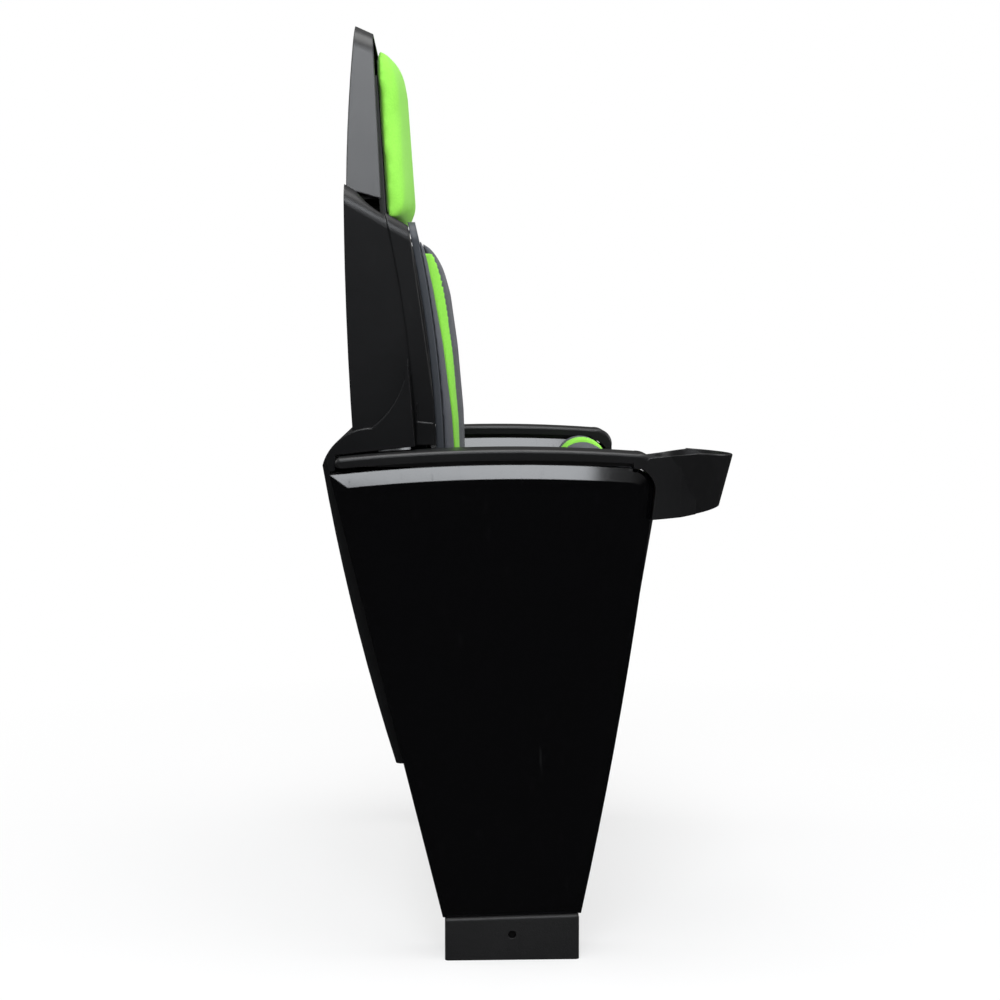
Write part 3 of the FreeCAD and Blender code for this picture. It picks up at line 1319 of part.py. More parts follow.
def back_stripe():
    wires = []
    for z in levels(CUSHION_LOW_Z, STRIPE_TIP_Z):
        inside, outside = stripe_edges(z)
        wires.append(width_section(z, inside + SOFT_GAP / 2, cushion_t(z) - 0.5,
                                   outside - SOFT_GAP / 2, bolster_t(z) + 2.0, 1.5))
    return padded_width(wires)


def back_bolster():
    wires = []
    for z in levels(CUSHION_LOW_Z, CUSHION_TOP_Z):
        inside = stripe_edges(z)[1] + SOFT_GAP / 2
        t = bolster_t(z)
        wires.append(width_section(z, inside, t, CUSHION_HALF, t * 0.45, t * 0.22))
    return padded_width(wires)


# Headrest
def headrest_half(z):
    share = (z - HEADREST_LOW_Z) / (HEADREST_TOP_Z - HEADREST_LOW_Z)
    plain = HEADREST_LOW_HALF + (HEADREST_TOP_HALF - HEADREST_LOW_HALF) * share
    over = max(z - HEADREST_TOP_Z + HEADREST_CORNER_R, 0.0)
    return plain - HEADREST_CORNER_R + math.sqrt(HEADREST_CORNER_R ** 2 - over ** 2)


def headrest_section(z):
    rear = headrest_rear_y(z)
    half = headrest_half(z)
    share = end_share(z, HEADREST_LOW_Z, HEADREST_TOP_Z, HEADREST_LOW_ROUND, HEADREST_ROUND)
    t = HEADREST_T * share
    side_in = HEADREST_SIDE_IN * share
    flank = rear - t * 0.8
    bow_x = half - side_in * 0.25
    bow_y = rear - t * 0.5
    return outline(at_z(z), (-half, rear), (half, rear),
                   (bow_x, bow_y, half - side_in, flank),
                   (0.0, rear - t - HEADREST_CROWN * share, -half + side_in, flank),
                   (-bow_x, bow_y, -half, rear))


def headrest_cushion():
    low, high = HEADREST_LOW_Z, HEADREST_TOP_Z
    places = [low, low + 4.0, low + HEADREST_LOW_ROUND, (low + high) / 2, high - HEADREST_ROUND,
              high - 30.0, high - 15.0, high - 6.0, high - 1.5]
    return loft([headrest_section(z) for z in places])


def headrest_board():
    wires = []
    for z in (HEADREST_LOW_Z + 6.0, HEADREST_TOP_Z - HEADREST_CORNER_R):
        front = headrest_rear_y(z) + SOFT_GAP
        half = headrest_half(z) - HEADREST_BOARD_IN
        wires.append(outline(at_z(z), (-half, front), (half, front), (half, front + HEADREST_BOARD_T),
                             (-half, front + HEADREST_BOARD_T)))
    return drilled(loft(wires), shell_screws())


def seat_screws():
    start = board_low_z - BRACKET_T - SCREW_HEAD_T
    screws = []
    for side in (RIGHT, LEFT):
        for x, y in bracket_screw_places():
            screws.append(screw(V(side * x, y, start), (0, 0, 1), SCREW_HEAD_T + BRACKET_T + 9.0))
    for x, y, z in under_screw_places():
        screws.append(screw(V(x, y, z), (0, 0, 1), board_low_z - z + 9.0))
    return screws


os.makedirs("parts", exist_ok=True)
fixed = {"leg_frame": leg_frame(), "foot_cover": foot_cover(),
         "outer_panel": side_panel(1), "inner_panel": side_panel(-1),
         "hinge_shaft": hinge_shaft(), "hinge_nut": hinge_nut(), "hinge_spacer": hinge_spacer(),
         "stop_plate": stop_plate(), "arm_link_cover": arm_link_cover(),
         "back_stripe": back_stripe(), "back_bolster": back_bolster()}
moving = {"hinge_bracket": hinge_bracket(), "hinge_bush": hinge_bush(),
          "stop_pin": stop_pin(), "stop_sleeve": stop_sleeve(), "return_spring": return_spring(),
          "seat_stripe": seat_stripe(), "seat_bolster": seat_bolster()}
for side, word in ((RIGHT, "right"), (LEFT, "left")):
    for name, shape in fixed.items():
        save(name + "_" + word, on_side(shape, side))
    for name, shape in moving.items():
        save(name + "_" + word, tipped(on_side(shape, side)))
    save("armrest_" + word, on_side(armrest(side == RIGHT), side))
    save("back_bolts_" + word, Part.makeCompound(back_bolts(side)))
for name, screws in (("foot_screws", foot_screws()), ("panel_screws", panel_screws()),
                     ("armrest_screws", armrest_screws())):
    both = [on_side(part, side) for side in (RIGHT, LEFT) for part in screws]
    save(name, Part.makeCompound(both))
save("seat_cushion", tipped(seat_cushion()))
save("seat_board", tipped(seat_board()))
save("seat_shell", tipped(seat_shell()))
save("seat_screws", tipped(Part.makeCompound(seat_screws())))
save("back_shell", back_shell())
save("shell_screws", Part.makeCompound(shell_screws()))
save("lower_cover", lower_cover())
save("lower_cover_screws", Part.makeCompound(lower_cover_screws()))
save("back_frame", back_frame())
save("back_board", back_board())
save("board_screws", Part.makeCompound(board_screws()))
save("back_cushion", back_cushion())
save("headrest_cushion", headrest_cushion())
save("headrest_board", headrest_board())
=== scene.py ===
import math

import bmesh
import bpy
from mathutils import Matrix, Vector
from mathutils.bvhtree import BVHTree


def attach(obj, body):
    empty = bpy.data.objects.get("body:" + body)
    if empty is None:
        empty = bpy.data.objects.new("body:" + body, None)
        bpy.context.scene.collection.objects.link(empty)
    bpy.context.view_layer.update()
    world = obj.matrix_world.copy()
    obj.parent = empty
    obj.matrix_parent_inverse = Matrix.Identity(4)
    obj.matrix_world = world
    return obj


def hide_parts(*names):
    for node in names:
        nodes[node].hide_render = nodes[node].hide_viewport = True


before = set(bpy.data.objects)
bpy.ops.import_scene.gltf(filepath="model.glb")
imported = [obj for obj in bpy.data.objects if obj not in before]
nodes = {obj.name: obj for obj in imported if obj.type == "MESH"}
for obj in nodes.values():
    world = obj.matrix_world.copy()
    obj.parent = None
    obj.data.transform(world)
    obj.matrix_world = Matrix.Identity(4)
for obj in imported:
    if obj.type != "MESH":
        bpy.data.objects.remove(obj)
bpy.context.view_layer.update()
scene = bpy.context.scene
SIDES = ("right", "left")

# The camera. The chair is seen square from the sitter's right, a little above the
# armrest, through a long lens, so that the far armrest just shows over the near one.
CAMERA_PLACE = Vector((-2.345, 0.081, 0.7355))
CAMERA_PITCH = math.radians(3.58)
CAMERA_YAW = math.radians(1.88)
FOCAL_PIXELS = 1735.0
IMAGE_PIXELS = 1000.0
SHIFT_DOWN = 0.05
SENSOR = 36.0

camera = bpy.data.objects.new("camera", bpy.data.cameras.new("camera"))
scene.collection.objects.link(camera)
scene.camera = camera
camera.data.sensor_width = SENSOR
camera.data.lens = FOCAL_PIXELS / IMAGE_PIXELS * SENSOR
camera.data.shift_y = -SHIFT_DOWN
camera.data.clip_start = 0.1
camera.data.clip_end = 60.0
camera.location = CAMERA_PLACE
level = math.cos(CAMERA_PITCH)
looks = Vector((level * math.cos(CAMERA_YAW), -level * math.sin(CAMERA_YAW), -math.sin(CAMERA_PITCH)))
camera.rotation_euler = looks.to_track_quat("-Z", "Y").to_euler()

# The studio. A white sweep that keeps the chair's shadow, and lamps in soft boxes: one over
# the camera, one overhead, one from the front and one from behind. Gloss sees a dim room.
ROOM_LIGHT = 0.55            # what matt surfaces get from all round
ROOM_DIM = 0.022             # what gloss sees at eye level
ROOM_BRIGHT = 0.55           # and overhead
FLOOR_SIZE = 14.0
FLOOR_COLOUR = (0.86, 0.86, 0.86, 1.0)
FLOOR_OWN_WHITE = (0.60, 1.0)   # near the chair and far from it
FLOOR_FADE = (0.35, 1.5)
FLOOR_IN_GLOSS = 0.03
MIDDLE = (0.0, 0.05, 0.75)

scene.view_settings.view_transform = "Standard"


def put(tree, node, name, value):
    """Sets an input of a shader node to a value, or joins another socket to it."""
    index = int(name) if name.isdigit() else name
    if isinstance(value, bpy.types.NodeSocket):
        tree.links.new(value, node.inputs[index])
    else:
        node.inputs[index].default_value = value


def placed(tree, kind, **sockets):
    node = tree.nodes.new(kind)
    for name, value in sockets.items():
        put(tree, node, name.replace("_", " "), value)
    return node


def maths(tree, operation, first, second=0.0, third=0.0):
    node = tree.nodes.new("ShaderNodeMath")
    node.operation = operation
    for index, value in enumerate((first, second, third)):
        put(tree, node, str(index), value)
    return node.outputs[0]


def spread(tree, value, low, high, to_low=0.0, to_high=1.0):
    node = placed(tree, "ShaderNodeMapRange", Value=value, From_Min=low, From_Max=high,
                  To_Min=to_low, To_Max=to_high)
    return node.outputs["Result"]


def mixed(tree, share, first, second):
    return placed(tree, "ShaderNodeMix", Factor=share, A=first, B=second).outputs["Result"]


world = bpy.data.worlds.new("studio")
scene.world = world
world.use_nodes = True
tree = world.node_tree
tree.nodes.clear()
path = tree.nodes.new("ShaderNodeLightPath").outputs
direction = tree.nodes.new("ShaderNodeTexCoord").outputs["Generated"]
height = placed(tree, "ShaderNodeSeparateXYZ", Vector=direction).outputs["Z"]
walls = placed(tree, "ShaderNodeTexNoise", Vector=direction, Scale=2.2, Detail=1.0).outputs["Fac"]
dim = maths(tree, "MULTIPLY", spread(tree, walls, 0.35, 0.65, 0.3, 1.7), ROOM_DIM)
overhead = maths(tree, "ADD", dim, spread(tree, height, 0.25, 0.85, 0.0, ROOM_BRIGHT))
plain = mixed(tree, path["Is Glossy Ray"], ROOM_LIGHT, overhead)
seen = maths(tree, "MAXIMUM", path["Is Camera Ray"], path["Is Transmission Ray"])
strength = mixed(tree, seen, plain, 1.0)
shine = placed(tree, "ShaderNodeBackground", Color=(1.0, 1.0, 1.0, 1.0), Strength=strength)
placed(tree, "ShaderNodeOutputWorld", Surface=shine.outputs["Background"])

sweep = bmesh.new()
bmesh.ops.create_grid(sweep, x_segments=2, y_segments=2, size=FLOOR_SIZE / 2)
floor = bpy.data.objects.new("floor", bpy.data.meshes.new("floor"))
sweep.to_mesh(floor.data)
sweep.free()
scene.collection.objects.link(floor)
paint = bpy.data.materials.new("floor_paint")
paint.use_nodes = True
tree = paint.node_tree
tree.nodes.clear()
path = tree.nodes.new("ShaderNodeLightPath").outputs
place = tree.nodes.new("ShaderNodeTexCoord").outputs["Object"]
distance = placed(tree, "ShaderNodeVectorMath")
distance.operation = "LENGTH"
put(tree, distance, "0", place)
own = spread(tree, distance.outputs["Value"], *FLOOR_FADE, *FLOOR_OWN_WHITE)
matt = placed(tree, "ShaderNodeBsdfDiffuse", Color=FLOOR_COLOUR)
white = placed(tree, "ShaderNodeEmission", Color=(1.0, 1.0, 1.0, 1.0), Strength=1.0)
dull = placed(tree, "ShaderNodeEmission", Color=(1.0, 1.0, 1.0, 1.0), Strength=FLOOR_IN_GLOSS)
bright = placed(tree, "ShaderNodeMixShader", Fac=maths(tree, "MULTIPLY", path["Is Camera Ray"], own))
put(tree, bright, "1", matt.outputs[0])
put(tree, bright, "2", white.outputs[0])
whole = placed(tree, "ShaderNodeMixShader", Fac=path["Is Glossy Ray"])
put(tree, whole, "1", bright.outputs[0])
put(tree, whole, "2", dull.outputs[0])
placed(tree, "ShaderNodeOutputMaterial", Surface=whole.outputs[0])
floor.data.materials.append(paint)


def soft_box(name, stands, size, watts, colour=(1.0, 1.0, 1.0)):
    light = bpy.data.lights.new(name, "AREA")
    light.shape = "RECTANGLE"
    light.size, light.size_y = size
    light.energy = watts
    light.color = colour
    holder = bpy.data.objects.new(name, light)
    scene.collection.objects.link(holder)
    holder.location = stands
    holder.rotation_euler = (Vector(MIDDLE) - Vector(stands)).to_track_quat("-Z", "Y").to_euler()


soft_box("camera_box", (-2.7, 0.25, 2.75), (1.5, 1.0), 46.0, (0.93, 0.96, 1.0))
soft_box("top_box", (-0.5, 0.0, 3.2), (1.6, 1.6), 34.0)
soft_box("front_box", (-0.3, -3.0, 1.9), (1.8, 1.4), 30.0)
soft_box("rear_box", (0.3, 3.0, 2.2), (1.6, 1.2), 26.0)


# Steel legs and the frame behind the back: square tube and plate, welded, then powder
# coated black. Each leg is bolted to the floor through its base plate.
POWDER = (0.0055, 0.0055, 0.006)


def new_material(name):
    material = bpy.data.materials.new(name)
    material.use_nodes = True
    tree = material.node_tree
    tree.nodes.clear()
    shader = tree.nodes.new("ShaderNodeBsdfPrincipled")
    placed(tree, "ShaderNodeOutputMaterial", Surface=shader.outputs[0])
    return material, tree, shader


def new_group(name, numbers, outputs):
    group = bpy.data.node_groups.new(name, "ShaderNodeTree")
    group.interface.new_socket("Coordinates", in_out="INPUT", socket_type="NodeSocketVector")
    for word, value in numbers.items():
        group.interface.new_socket(word, in_out="INPUT", socket_type="NodeSocketFloat").default_value = value
    for word, kind in outputs.items():
        group.interface.new_socket(word, in_out="OUTPUT", socket_type="NodeSocket" + kind)
    return group, group.nodes.new("NodeGroupInput").outputs, group.nodes.new("NodeGroupOutput").inputs


def with_group(tree, group, **values):
    node = tree.nodes.new("ShaderNodeGroup")
    node.node_tree = group
    for name, value in values.items():
        put(tree, node, name.replace("_", " "), value)
    return node.outputs


# Grain of a moulded or coated skin, with a slow drift of its gloss
moulded_grain, given, out = new_group(
    "moulded_grain", {"Grain Size": 0.001, "Drift Size": 0.12, "Roughness": 0.4, "Drift": 0.08},
    {"Height": "Float", "Roughness": "Float", "Patches": "Float"})
tree = moulded_grain
cells = placed(tree, "ShaderNodeTexVoronoi", Vector=given["Coordinates"],
               Scale=maths(tree, "DIVIDE", 1.0, given["Grain Size"]))
cells.feature = "SMOOTH_F1"
specks = placed(tree, "ShaderNodeTexNoise", Vector=given["Coordinates"], Detail=3.0,
                Scale=maths(tree, "DIVIDE", 0.6, given["Grain Size"]))
slow = placed(tree, "ShaderNodeTexNoise", Vector=given["Coordinates"], Detail=4.0, Roughness=0.6,
              Scale=maths(tree, "DIVIDE", 1.0, given["Drift Size"]))
tree.links.new(maths(tree, "ADD", cells.outputs["Distance"], specks.outputs["Fac"]), out["Height"])
swing = maths(tree, "MULTIPLY", maths(tree, "SUBTRACT", slow.outputs["Fac"], 0.5), given["Drift"])
tree.links.new(maths(tree, "ADD", given["Roughness"], swing), out["Roughness"])
tree.links.new(slow.outputs["Fac"], out["Patches"])

# Handling: fine long scratches, and dust that settles on what faces up
handling, given, out = new_group("handling", {"Scratch Size": 0.08, "Dust": 0.3},
                                 {"Scratches": "Float", "Dust": "Float"})
tree = handling
drawn = placed(tree, "ShaderNodeMapping", Vector=given["Coordinates"], Scale=(1.0, 14.0, 1.6),
               Rotation=(0.5, 0.0, 0.3))
lines = placed(tree, "ShaderNodeTexNoise", Vector=drawn.outputs[0], Detail=6.0, Roughness=0.75,
               Scale=maths(tree, "DIVIDE", 1.0, given["Scratch Size"]))
tree.links.new(spread(tree, lines.outputs["Fac"], 0.62, 0.70), out["Scratches"])
facing = placed(tree, "ShaderNodeSeparateXYZ",
                Vector=tree.nodes.new("ShaderNodeNewGeometry").outputs["Normal"]).outputs["Z"]
patch = placed(tree, "ShaderNodeTexNoise", Vector=given["Coordinates"], Scale=9.0, Detail=5.0)
settled = maths(tree, "MULTIPLY", spread(tree, facing, 0.4, 1.0), patch.outputs["Fac"])
tree.links.new(maths(tree, "MULTIPLY", settled, given["Dust"]), out["Dust"])

# Moulded edges: rounds the light on them, and tells where they are
moulded_edges, given, out = new_group("moulded_edges", {"Radius": 0.001},
                                      {"Normal": "Vector", "Edge": "Float"})
tree = moulded_edges
round_normal = placed(tree, "ShaderNodeBevel", Radius=given["Radius"])
round_normal.samples = 6
true_normal = tree.nodes.new("ShaderNodeNewGeometry").outputs["Normal"]
along = tree.nodes.new("ShaderNodeVectorMath")
along.operation = "DOT_PRODUCT"
put(tree, along, "0", round_normal.outputs["Normal"])
put(tree, along, "1", true_normal)
tree.links.new(spread(tree, along.outputs["Value"], 0.995, 0.9), out["Edge"])
tree.links.new(round_normal.outputs["Normal"], out["Normal"])


def tinted(tree, first, second, share):
    mix = tree.nodes.new("ShaderNodeMix")
    mix.data_type = "RGBA"
    put(tree, mix, "Factor", share)
    for name, value in (("A", first), ("B", second)):
        put(tree, mix, name, value if isinstance(value, bpy.types.NodeSocket) else value + (1.0,))
    return mix.outputs["Result"]


def bumped(tree, shader, height, depth, strength=0.5, normal=None):
    bump = placed(tree, "ShaderNodeBump", Strength=strength, Distance=depth, Height=height)
    if normal is not None:
        put(tree, bump, "Normal", normal)
    tree.links.new(bump.outputs[0], shader.inputs["Normal"])


DUST_COLOUR = (0.17, 0.165, 0.155)


def moulding(name, colour, grain_size, depth, roughness, drift=0.08, specular=0.5, dust=0.2, edge=0.0010):
    material, tree, shader = new_material(name)
    place = tree.nodes.new("ShaderNodeTexCoord").outputs["Object"]
    skin = with_group(tree, moulded_grain, Coordinates=place, Grain_Size=grain_size,
                      Roughness=roughness, Drift=drift)
    marks = with_group(tree, handling, Coordinates=place, Dust=dust)
    edges = with_group(tree, moulded_edges, Radius=edge)
    paler = tuple(part * 1.7 + 0.001 for part in colour)
    edge_highlight = tuple(part * 2.5 + 0.004 for part in colour)
    tint = tinted(tree, colour, paler, skin["Patches"])
    # Paler towards every edge: a painted highlight along the moulded edges.
    tint = tinted(tree, tint, edge_highlight, maths(tree, "MULTIPLY", edges["Edge"], 0.5))
    tint = tinted(tree, tint, DUST_COLOUR, maths(tree, "MULTIPLY", marks["Dust"], 0.25))
    tree.links.new(tint, shader.inputs["Base Color"])
    rough = maths(tree, "MULTIPLY_ADD", marks["Scratches"], 0.1, skin["Roughness"])
    tree.links.new(rough, shader.inputs["Roughness"])
    shader.inputs["Specular IOR Level"].default_value = specular
    bumped(tree, shader, skin["Height"], depth, normal=edges["Normal"])
    return material


def dress(material, *names):
    for name in names:
        nodes[name].data.materials.clear()
        nodes[name].data.materials.append(material)


def pairs(*names):
    return [name + "_" + side for name in names for side in SIDES]


powder_coat = moulding("powder_coat", POWDER, 0.0011, 0.00010, 0.42, edge=0.0006)
dress(powder_coat, *pairs("leg_frame", "hinge_bracket", "stop_plate", "hinge_spacer"), "back_frame")

# Foot covers: thick stippled mouldings that slip down over the base plates, each held
# by one screw sunk in either side.
FOOT_BLACK = (0.0075, 0.0075, 0.008)
foot_plastic = moulding("foot_plastic", FOOT_BLACK, 0.0016, 0.0003, 0.5, dust=0.4, edge=0.0014)
dress(foot_plastic, *pairs("foot_cover"))

# Hinge parts and fasteners: turned steel with zinc plate, blackened screws, an oiled
# spring, a nylon bush and a rubber sleeve that takes the knock of the stop.
def metal(name, colour, roughness, grain_size):
    material, tree, shader = new_material(name)
    place = tree.nodes.new("ShaderNodeTexCoord").outputs["Object"]
    skin = with_group(tree, moulded_grain, Coordinates=place, Grain_Size=grain_size,
                      Roughness=roughness, Drift=0.15)
    edges = with_group(tree, moulded_edges, Radius=0.0004)
    darker = tuple(part * 0.7 for part in colour)
    tree.links.new(tinted(tree, colour, darker, skin["Patches"]), shader.inputs["Base Color"])
    tree.links.new(skin["Roughness"], shader.inputs["Roughness"])
    shader.inputs["Metallic"].default_value = 1.0
    bumped(tree, shader, skin["Height"], 0.00003, 0.3, edges["Normal"])
    return material


zinc = metal("zinc_plate", (0.62, 0.62, 0.60), 0.34, 0.0006)
spring_wire = metal("oiled_spring", (0.32, 0.31, 0.30), 0.3, 0.0004)
dark_screw = metal("blackened_screw", (0.07, 0.07, 0.072), 0.38, 0.0005)
nylon = moulding("nylon", (0.72, 0.70, 0.64), 0.0008, 0.00002, 0.38, edge=0.0003)
rubber = moulding("rubber", (0.02, 0.02, 0.02), 0.0009, 0.0001, 0.7, edge=0.0003)
dress(zinc, *pairs("hinge_shaft", "hinge_nut", "stop_pin", "back_bolts"))
dress(spring_wire, *pairs("return_spring"))
dress(dark_screw, *[name for name in nodes if name.endswith("screws")])
dress(nylon, *pairs("hinge_bush"))
dress(rubber, *pairs("stop_sleeve"))

# Side panels: deep black, high-gloss mouldings in two halves, clamped round the leg.
# Cleaning has left hairline marks in the gloss.
GLOSS_BLACK = (0.0012, 0.0012, 0.0015)
GLOSS_SCRATCH = (0.006, 0.006, 0.0065)
panel_gloss, tree, shader = new_material("panel_gloss")
place = tree.nodes.new("ShaderNodeTexCoord").outputs["Object"]
skin = with_group(tree, moulded_grain, Coordinates=place, Grain_Size=0.012, Roughness=0.08, Drift=0.05)
marks = with_group(tree, handling, Coordinates=place, Dust=0.1)
edges = with_group(tree, moulded_edges, Radius=0.0018)
tree.links.new(tinted(tree, GLOSS_BLACK, GLOSS_SCRATCH, marks["Scratches"]), shader.inputs["Base Color"])
tree.links.new(maths(tree, "MULTIPLY_ADD", marks["Scratches"], 0.16, skin["Roughness"]),
               shader.inputs["Roughness"])
shader.inputs["Specular IOR Level"].default_value = 0.5
bumped(tree, shader, skin["Height"], 0.00005, 0.12, edges["Normal"])
dress(panel_gloss, *pairs("outer_panel", "inner_panel"))

# Armrests: satin black mouldings with a fine grain, screwed up from the leg's arm plate.
# The right one ends in the cup holder.
ARM_BLACK = (0.0042, 0.0042, 0.0046)
arm_plastic = moulding("arm_plastic", ARM_BLACK, 0.0009, 0.00006, 0.36, dust=0.15, edge=0.0015)
dress(arm_plastic, *pairs("armrest"))

# Back shells: two large satin mouldings, the upper one round the headrest and the back,
# the lower one round the rear of both standards, with small covers beside the armrests.
SHELL_BLACK = (0.0030, 0.0031, 0.0036)
shell_plastic = moulding("shell_plastic", SHELL_BLACK, 0.0010, 0.00007, 0.34, dust=0.1, edge=0.0025)
dress(shell_plastic, "back_shell", "lower_cover", *pairs("arm_link_cover"))

# Underside cover of the seat: one tough grained moulding, ribbed inside, screwed up to
# the seat board.
SEAT_BLACK = (0.006, 0.006, 0.0065)
seat_plastic = moulding("seat_plastic", SEAT_BLACK, 0.0014, 0.0002, 0.46, edge=0.0012)
dress(seat_plastic, "seat_shell")

# Boards: birch plywood in the seat, one behind the headrest made black as painted shade
# for the gap beside the headrest pad, and the bent back board, whose blue-grey moulded rim shows all round
# the cushion.
plywood, tree, shader = new_material("plywood")
place = tree.nodes.new("ShaderNodeTexCoord").outputs["Object"]
flat = placed(tree, "ShaderNodeMapping", Vector=place, Scale=(0.35, 1.0, 9.0))
rings = placed(tree, "ShaderNodeTexWave", Vector=flat.outputs[0], Scale=14.0, Distortion=7.0, Detail=4.0)
tree.links.new(tinted(tree, (0.46, 0.32, 0.18), (0.66, 0.50, 0.32), rings.outputs["Fac"]),
               shader.inputs["Base Color"])
shader.inputs["Roughness"].default_value = 0.62
bumped(tree, shader, rings.outputs["Fac"], 0.0001, 0.3)
dress(plywood, "seat_board")
# The headrest board is black as painted shade: it stands for the dark gap between the shell and the headrest
# pad.
gap_shade_board = moulding("gap_shade_board", (0.008, 0.008, 0.008), 0.002, 0.0002, 0.55, edge=0.0008)
dress(gap_shade_board, "headrest_board")
rim_plastic = moulding("rim_plastic", (0.032, 0.036, 0.043), 0.0012, 0.00010, 0.45, edge=0.0045)
dress(rim_plastic, "back_board")


# Seat cushion: moulded foam in five sewn widths of close knitted cloth, the middle one
# crowned, two green ones beside it and a rounded grey one at each edge.
# Close cloth: threads in two directions on whichever plane the surface faces
close_cloth, given, out = new_group("close_cloth", {"Pitch": 0.0012}, {"Height": "Float", "Fuzz": "Float"})
tree = close_cloth
apart = placed(tree, "ShaderNodeSeparateXYZ", Vector=given["Coordinates"]).outputs
normal = placed(tree, "ShaderNodeSeparateXYZ",
                Vector=tree.nodes.new("ShaderNodeNewGeometry").outputs["Normal"]).outputs
turn = maths(tree, "DIVIDE", 2 * math.pi, given["Pitch"])
waves = {axis: maths(tree, "SINE", maths(tree, "MULTIPLY", apart[axis], turn)) for axis in "XYZ"}
woven = 0.0
for facing, first, second in (("X", "Y", "Z"), ("Y", "X", "Z"), ("Z", "X", "Y")):
    weight = maths(tree, "MULTIPLY", normal[facing], normal[facing])
    crossing = maths(tree, "MULTIPLY", waves[first], waves[second])
    woven = maths(tree, "MULTIPLY_ADD", crossing, weight, woven)
tree.links.new(woven, out["Height"])
fuzz = placed(tree, "ShaderNodeTexNoise", Vector=given["Coordinates"], Scale=420.0, Detail=3.0)
tree.links.new(fuzz.outputs["Fac"], out["Fuzz"])


def cloth(name, colour, shade, sheen):
    material, tree, shader = new_material(name)
    place = tree.nodes.new("ShaderNodeTexCoord").outputs["Object"]
    threads = with_group(tree, close_cloth, Coordinates=place, Pitch=0.0013)
    slow = placed(tree, "ShaderNodeTexNoise", Vector=place, Scale=7.0, Detail=5.0, Roughness=0.65)
    both = maths(tree, "MULTIPLY", maths(tree, "ADD", slow.outputs["Fac"], threads["Fuzz"]), 0.5)
    tree.links.new(tinted(tree, shade, colour, spread(tree, both, 0.3, 0.7)), shader.inputs["Base Color"])
    tree.links.new(maths(tree, "MULTIPLY_ADD", threads["Fuzz"], 0.1, 0.66), shader.inputs["Roughness"])
    shader.inputs["Specular IOR Level"].default_value = 0.3
    shader.inputs["Sheen Weight"].default_value = sheen
    shader.inputs["Sheen Roughness"].default_value = 0.4
    level = maths(tree, "MULTIPLY_ADD", threads["Fuzz"], 0.8, threads["Height"])
    bumped(tree, shader, level, 0.00012)
    return material


green_cloth = cloth("green_cloth", (0.335, 0.83, 0.095), (0.25, 0.72, 0.06), 0.1)
grey_cloth = cloth("grey_cloth", (0.105, 0.110, 0.125), (0.082, 0.086, 0.100), 0.1)

CLOTH_PRESSURE = 4.0
CLOTH_FRAMES = 20


def applied(piece):
    """Works the piece's modifiers into its mesh."""
    shaped = bpy.data.meshes.new_from_object(piece.evaluated_get(bpy.context.evaluated_depsgraph_get()))
    piece.modifiers.clear()
    old = piece.data
    piece.data = shaped
    bpy.data.meshes.remove(old)
    for face in piece.data.polygons:
        face.use_smooth = True


def blown_up(piece, cap):
    """Cloth sewn round the foam: it swells under pressure, no point by more than the cap."""
    before = [vertex.co.copy() for vertex in piece.data.vertices]
    swell = piece.modifiers.new("swell", "CLOTH")
    swell.settings.use_pressure = True
    swell.settings.uniform_pressure_force = CLOTH_PRESSURE
    swell.settings.effector_weights.gravity = 0.0
    for number in range(1, CLOTH_FRAMES + 1):
        scene.frame_set(number)
    applied(piece)
    scene.frame_set(1)
    for vertex, start in zip(piece.data.vertices, before):
        moved = vertex.co - start
        if moved.length > cap:
            vertex.co = start + moved * (cap / moved.length)


def kept_in(piece, node, outward, proud):
    """Keeps a swollen pad in its place, proud of it only on the side that a sitter touches."""
    source = bmesh.new()
    source.from_mesh(nodes[node].data)
    bmesh.ops.remove_doubles(source, verts=source.verts, dist=1e-5)
    limit = BVHTree.FromBMesh(source)
    source.free()
    for vertex in piece.data.vertices:
        near, normal, _, _ = limit.find_nearest(vertex.co)
        most = proud if normal.dot(outward) > 0.5 else -PAD_CLEAR
        over = (vertex.co - near).dot(normal) - most
        if over > 0:
            vertex.co -= normal * over


PAD_CLEAR = 0.0002


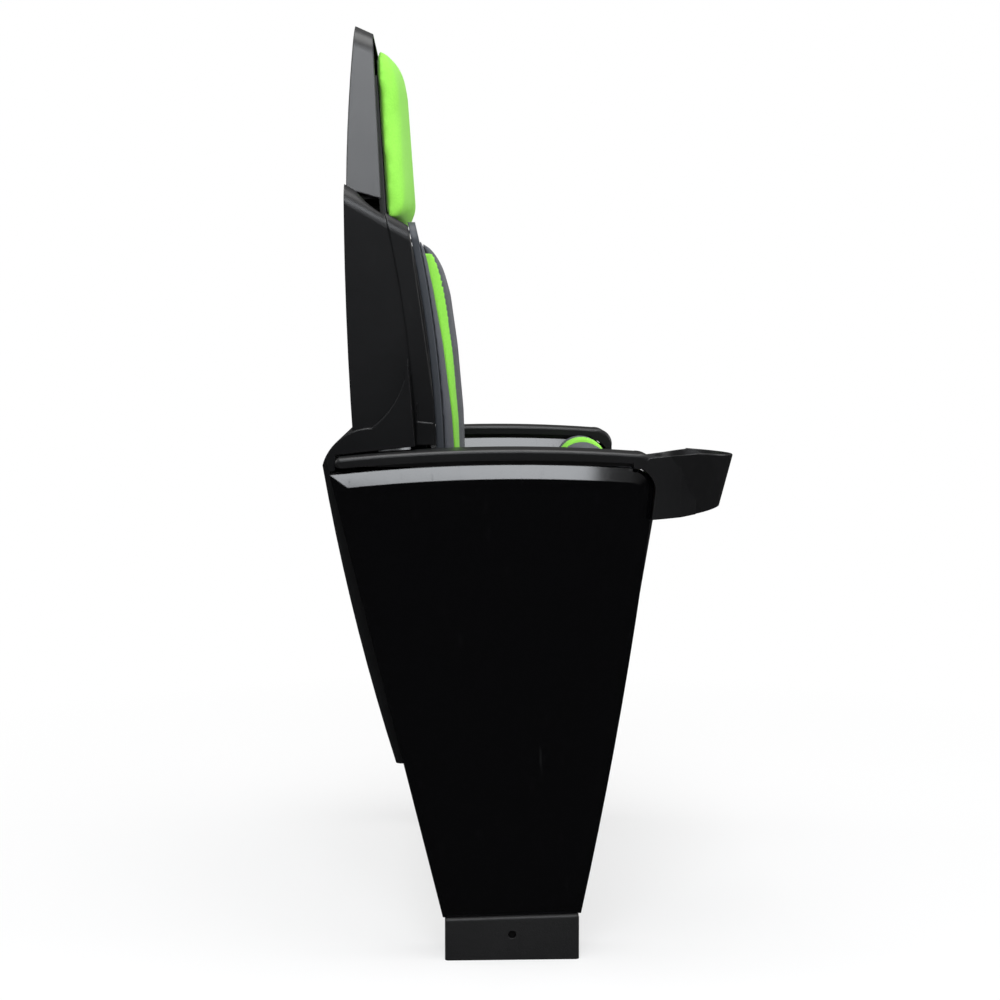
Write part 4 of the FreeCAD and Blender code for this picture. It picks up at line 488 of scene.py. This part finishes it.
def stuffed(node, name, material, body, outward, voxel, eased, drawn_in, cap):
    """A foam pad in its cloth, in the space of a soft solid, with rounded sewn edges."""
    mesh = bmesh.new()
    mesh.from_mesh(nodes[node].data)
    bmesh.ops.remove_doubles(mesh, verts=mesh.verts, dist=1e-5)
    piece = bpy.data.objects.new(name, bpy.data.meshes.new(name))
    mesh.to_mesh(piece.data)
    mesh.free()
    scene.collection.objects.link(piece)
    skin = piece.modifiers.new("skin", "REMESH")
    skin.mode = "VOXEL"
    skin.voxel_size = voxel
    ease = piece.modifiers.new("ease", "SMOOTH")
    ease.factor = 0.5
    ease.iterations = eased
    applied(piece)
    if cap > 0:
        for vertex in piece.data.vertices:
            vertex.co -= vertex.normal * drawn_in
        blown_up(piece, cap)
        kept_in(piece, node, outward, cap / 2)
        ease = piece.modifiers.new("ease", "SMOOTH")
        ease.factor = 0.5
        ease.iterations = 2
        finer = piece.modifiers.new("finer", "SUBSURF")
        finer.levels = 1
        finer.render_levels = 1
        applied(piece)
    piece.data.materials.clear()
    piece.data.materials.append(material)
    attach(piece, body)
    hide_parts(node)
    return piece


seat_up = Vector((0.0, math.sin(math.radians(61.0)), math.cos(math.radians(61.0))))
stuffed("seat_cushion", "seat_pad", grey_cloth, "seat", seat_up,
        0.006, 4, 0.002, 0.005)
for side in SIDES:
    stuffed("seat_stripe_" + side, "seat_green_width_" + side, green_cloth, "seat", seat_up,
            0.003, 5, 0.0, 0.0)
    stuffed("seat_bolster_" + side, "seat_outer_width_" + side, grey_cloth, "seat", seat_up,
            0.003, 5, 0.0, 0.0)

# Back cushion: the same five widths over the bent board. The green ones start as a point
# at the top corners and widen downwards.
back_out = Vector((0.0, -1.0, 0.0))
stuffed("back_cushion", "back_pad", grey_cloth, "stand", back_out,
        0.006, 4, 0.0015, 0.004)
for side in SIDES:
    stuffed("back_stripe_" + side, "back_green_width_" + side, green_cloth, "stand",
            back_out, 0.0012, 4, 0.0, 0.0)
    stuffed("back_bolster_" + side, "back_outer_width_" + side, grey_cloth, "stand",
            back_out, 0.0022, 4, 0.0, 0.0)

# Headrest: one smooth green pad in the hollow of the shell's head, its cloth pulled round
# the edge of the board behind it.
stuffed("headrest_cushion", "headrest_pad", green_cloth, "stand", back_out,
        0.006, 5, 0.0015, 0.004)
